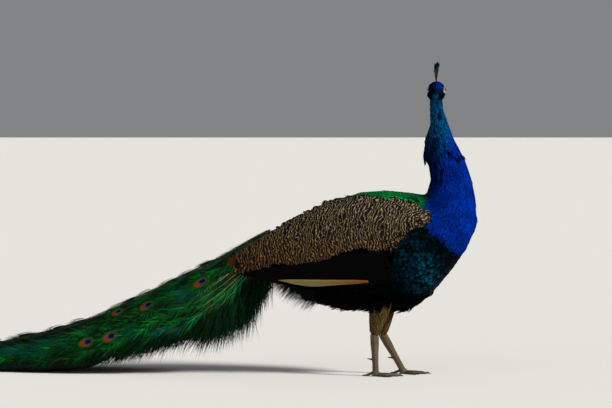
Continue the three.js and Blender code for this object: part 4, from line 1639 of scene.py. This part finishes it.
# %% Smooth eyeballs with a dark pupil in a brown iris
EYE_RADIUS, PUPIL, IRIS = 6.6, 21, 43
PUPIL_BLACK, IRIS_BROWN, RIM_BROWN = shade(2, 2, 2), shade(66, 34, 14), shade(14, 10, 8)
turns = [1, 9, 16, PUPIL - 1, PUPIL + 1, 27, 35, IRIS - 1, IRIS + 2, 56, 72, 90, 112, 140, 179]
balls, ball_tone = [], []
for hand in (-1, 1):
    ball = []
    for turn in turns:
        out = hand * (EYE_PLACE[1] + EYE_RADIUS * math.cos(math.radians(turn)))
        wide = EYE_RADIUS * math.sin(math.radians(turn))
        spots = [(EYE_PLACE[0] + wide * math.cos(b), EYE_PLACE[2] + wide * math.sin(b)) for b in ROUND]
        ball.append([on_head_frame(along, out, up) for along, up in spots])
        tone = PUPIL_BLACK if turn < PUPIL else IRIS_BROWN if turn < IRIS else RIM_BROWN
        ball_tone += [tone] * len(ROUND)
    balls.append(ball)
wet_ball, tree, shader, _ = finish("wet_ball", 0.05, Coat_Weight=0.2, Specular_IOR_Level=0.3)
paint(tree, shader, own_tone(tree))
eyeballs = closed_rings("eyeballs", balls, wet_ball, caps=True)
carry_tone(eyeballs.data, ball_tone)
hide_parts("eye_left", "eye_right")
print("eyeballs:", EYE_RADIUS * 2, "mm across")

# %% Nostrils
nostrils = []
for hand in (-1, 1):
    hole = []
    for t in np.linspace(0.04, 0.96, 7):
        r = math.sin(math.pi * t)
        turns = np.linspace(0, math.tau, 12, endpoint=False)
        spots = [(hand * (5.9 + r * math.cos(a)), 4.2 + r * math.sin(a) - 1.2 * t) for a in turns]
        hole.append([on_head_frame(30 + 8 * t, left, up) for left, up in spots])
    nostrils.append(hole)
nostril = mottled("nostril", shade(14, 12, 10), shade(34, 28, 24), 300, 0.6, 0.0001)
closed_rings("nostrils", nostrils, nostril, caps=True)
print("eye in the frame:", on_head_frame(*EYE_PLACE))

# %% [markdown]
# ## The crest
# The crest is a fan of wire-like shafts, bare for most of their length, each with a small
# blue-green fan at its tip. The shafts are swept tubes and the fans are laid as feathers.

# %% Shafts and fans of the crest
CREST_SHAFTS, FAN_BLUE = 23, np.array(shade(0, 70, 96))
FAN_TURNS = np.radians([-48, -34, -22, -11, 0, 11, 22, 34, 48])
stalks, fans = [], []
chance = np.random.default_rng(5)
for k in range(CREST_SHAFTS):
    t = k / (CREST_SHAFTS - 1) * 2 - 1
    lean = math.radians(-12 - 31 * t)
    sway = math.radians(chance.uniform(-8, 7))
    way = BILLWARD * math.sin(lean) + np.array([0, 0, 1]) * math.cos(lean)
    way = unit(way * math.cos(sway) + HEAD_LEFT * math.sin(sway))
    first = on_head_frame(-6 - 5 * t, 0.8 * math.sin(k * 2.1), 26)
    long = (0.051 + 0.006 * (k % 2) + 0.003 * chance.random()) * (1 - 0.12 * t * t)
    steps = np.linspace(0, 1, 8)[:, None]
    line = first + way * steps * long - BILLWARD * (steps**2) * 0.003
    stalks.append((line, np.tile(HEAD_LEFT, (8, 1))))
    end = unit(line[-1] - line[-2])
    across = unit(np.cross(HEAD_LEFT, end))
    for turn in FAN_TURNS:
        out = end * math.cos(turn) + across * math.sin(turn)
        forward = unit(out + HEAD_LEFT * chance.normal(0, 0.08))
        upward = unit(HEAD_LEFT + across * chance.uniform(-1.4, 1.4))
        size = (0.0135 * math.cos(turn * 0.8), 0.0034, 0.004)
        fans.append((line[-1] - end * 0.002, forward, upward, size, FAN_BLUE * (0.3 + chance.random())))
crest_shaft = mottled("crest_shaft", shade(8, 6, 6), shade(52, 40, 34), 300, 0.45, 0.0)
crest_stalks = swept("crest_shafts", stalks, 0.0013, crest_shaft, sides=4, taper=0.7)
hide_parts("crest")
count = len(fans)
roots = np.column_stack([np.linspace(0.05, 0.95, count), np.tile([0.3, 0.5, 0.7], count)[:count]])
lay("crest_fans", BARB, down_finish, *columns(fans), roots, "crest", seed=41)

# %% [markdown]
# ## Finish
# The shapes that were laid many times are removed.

# %% Remove the laid shapes
for shape in (ROUND_VANE, LONG_VANE, LOOSE_VANE, BARB, EYE_DISC):
    bpy.data.objects.remove(shape)
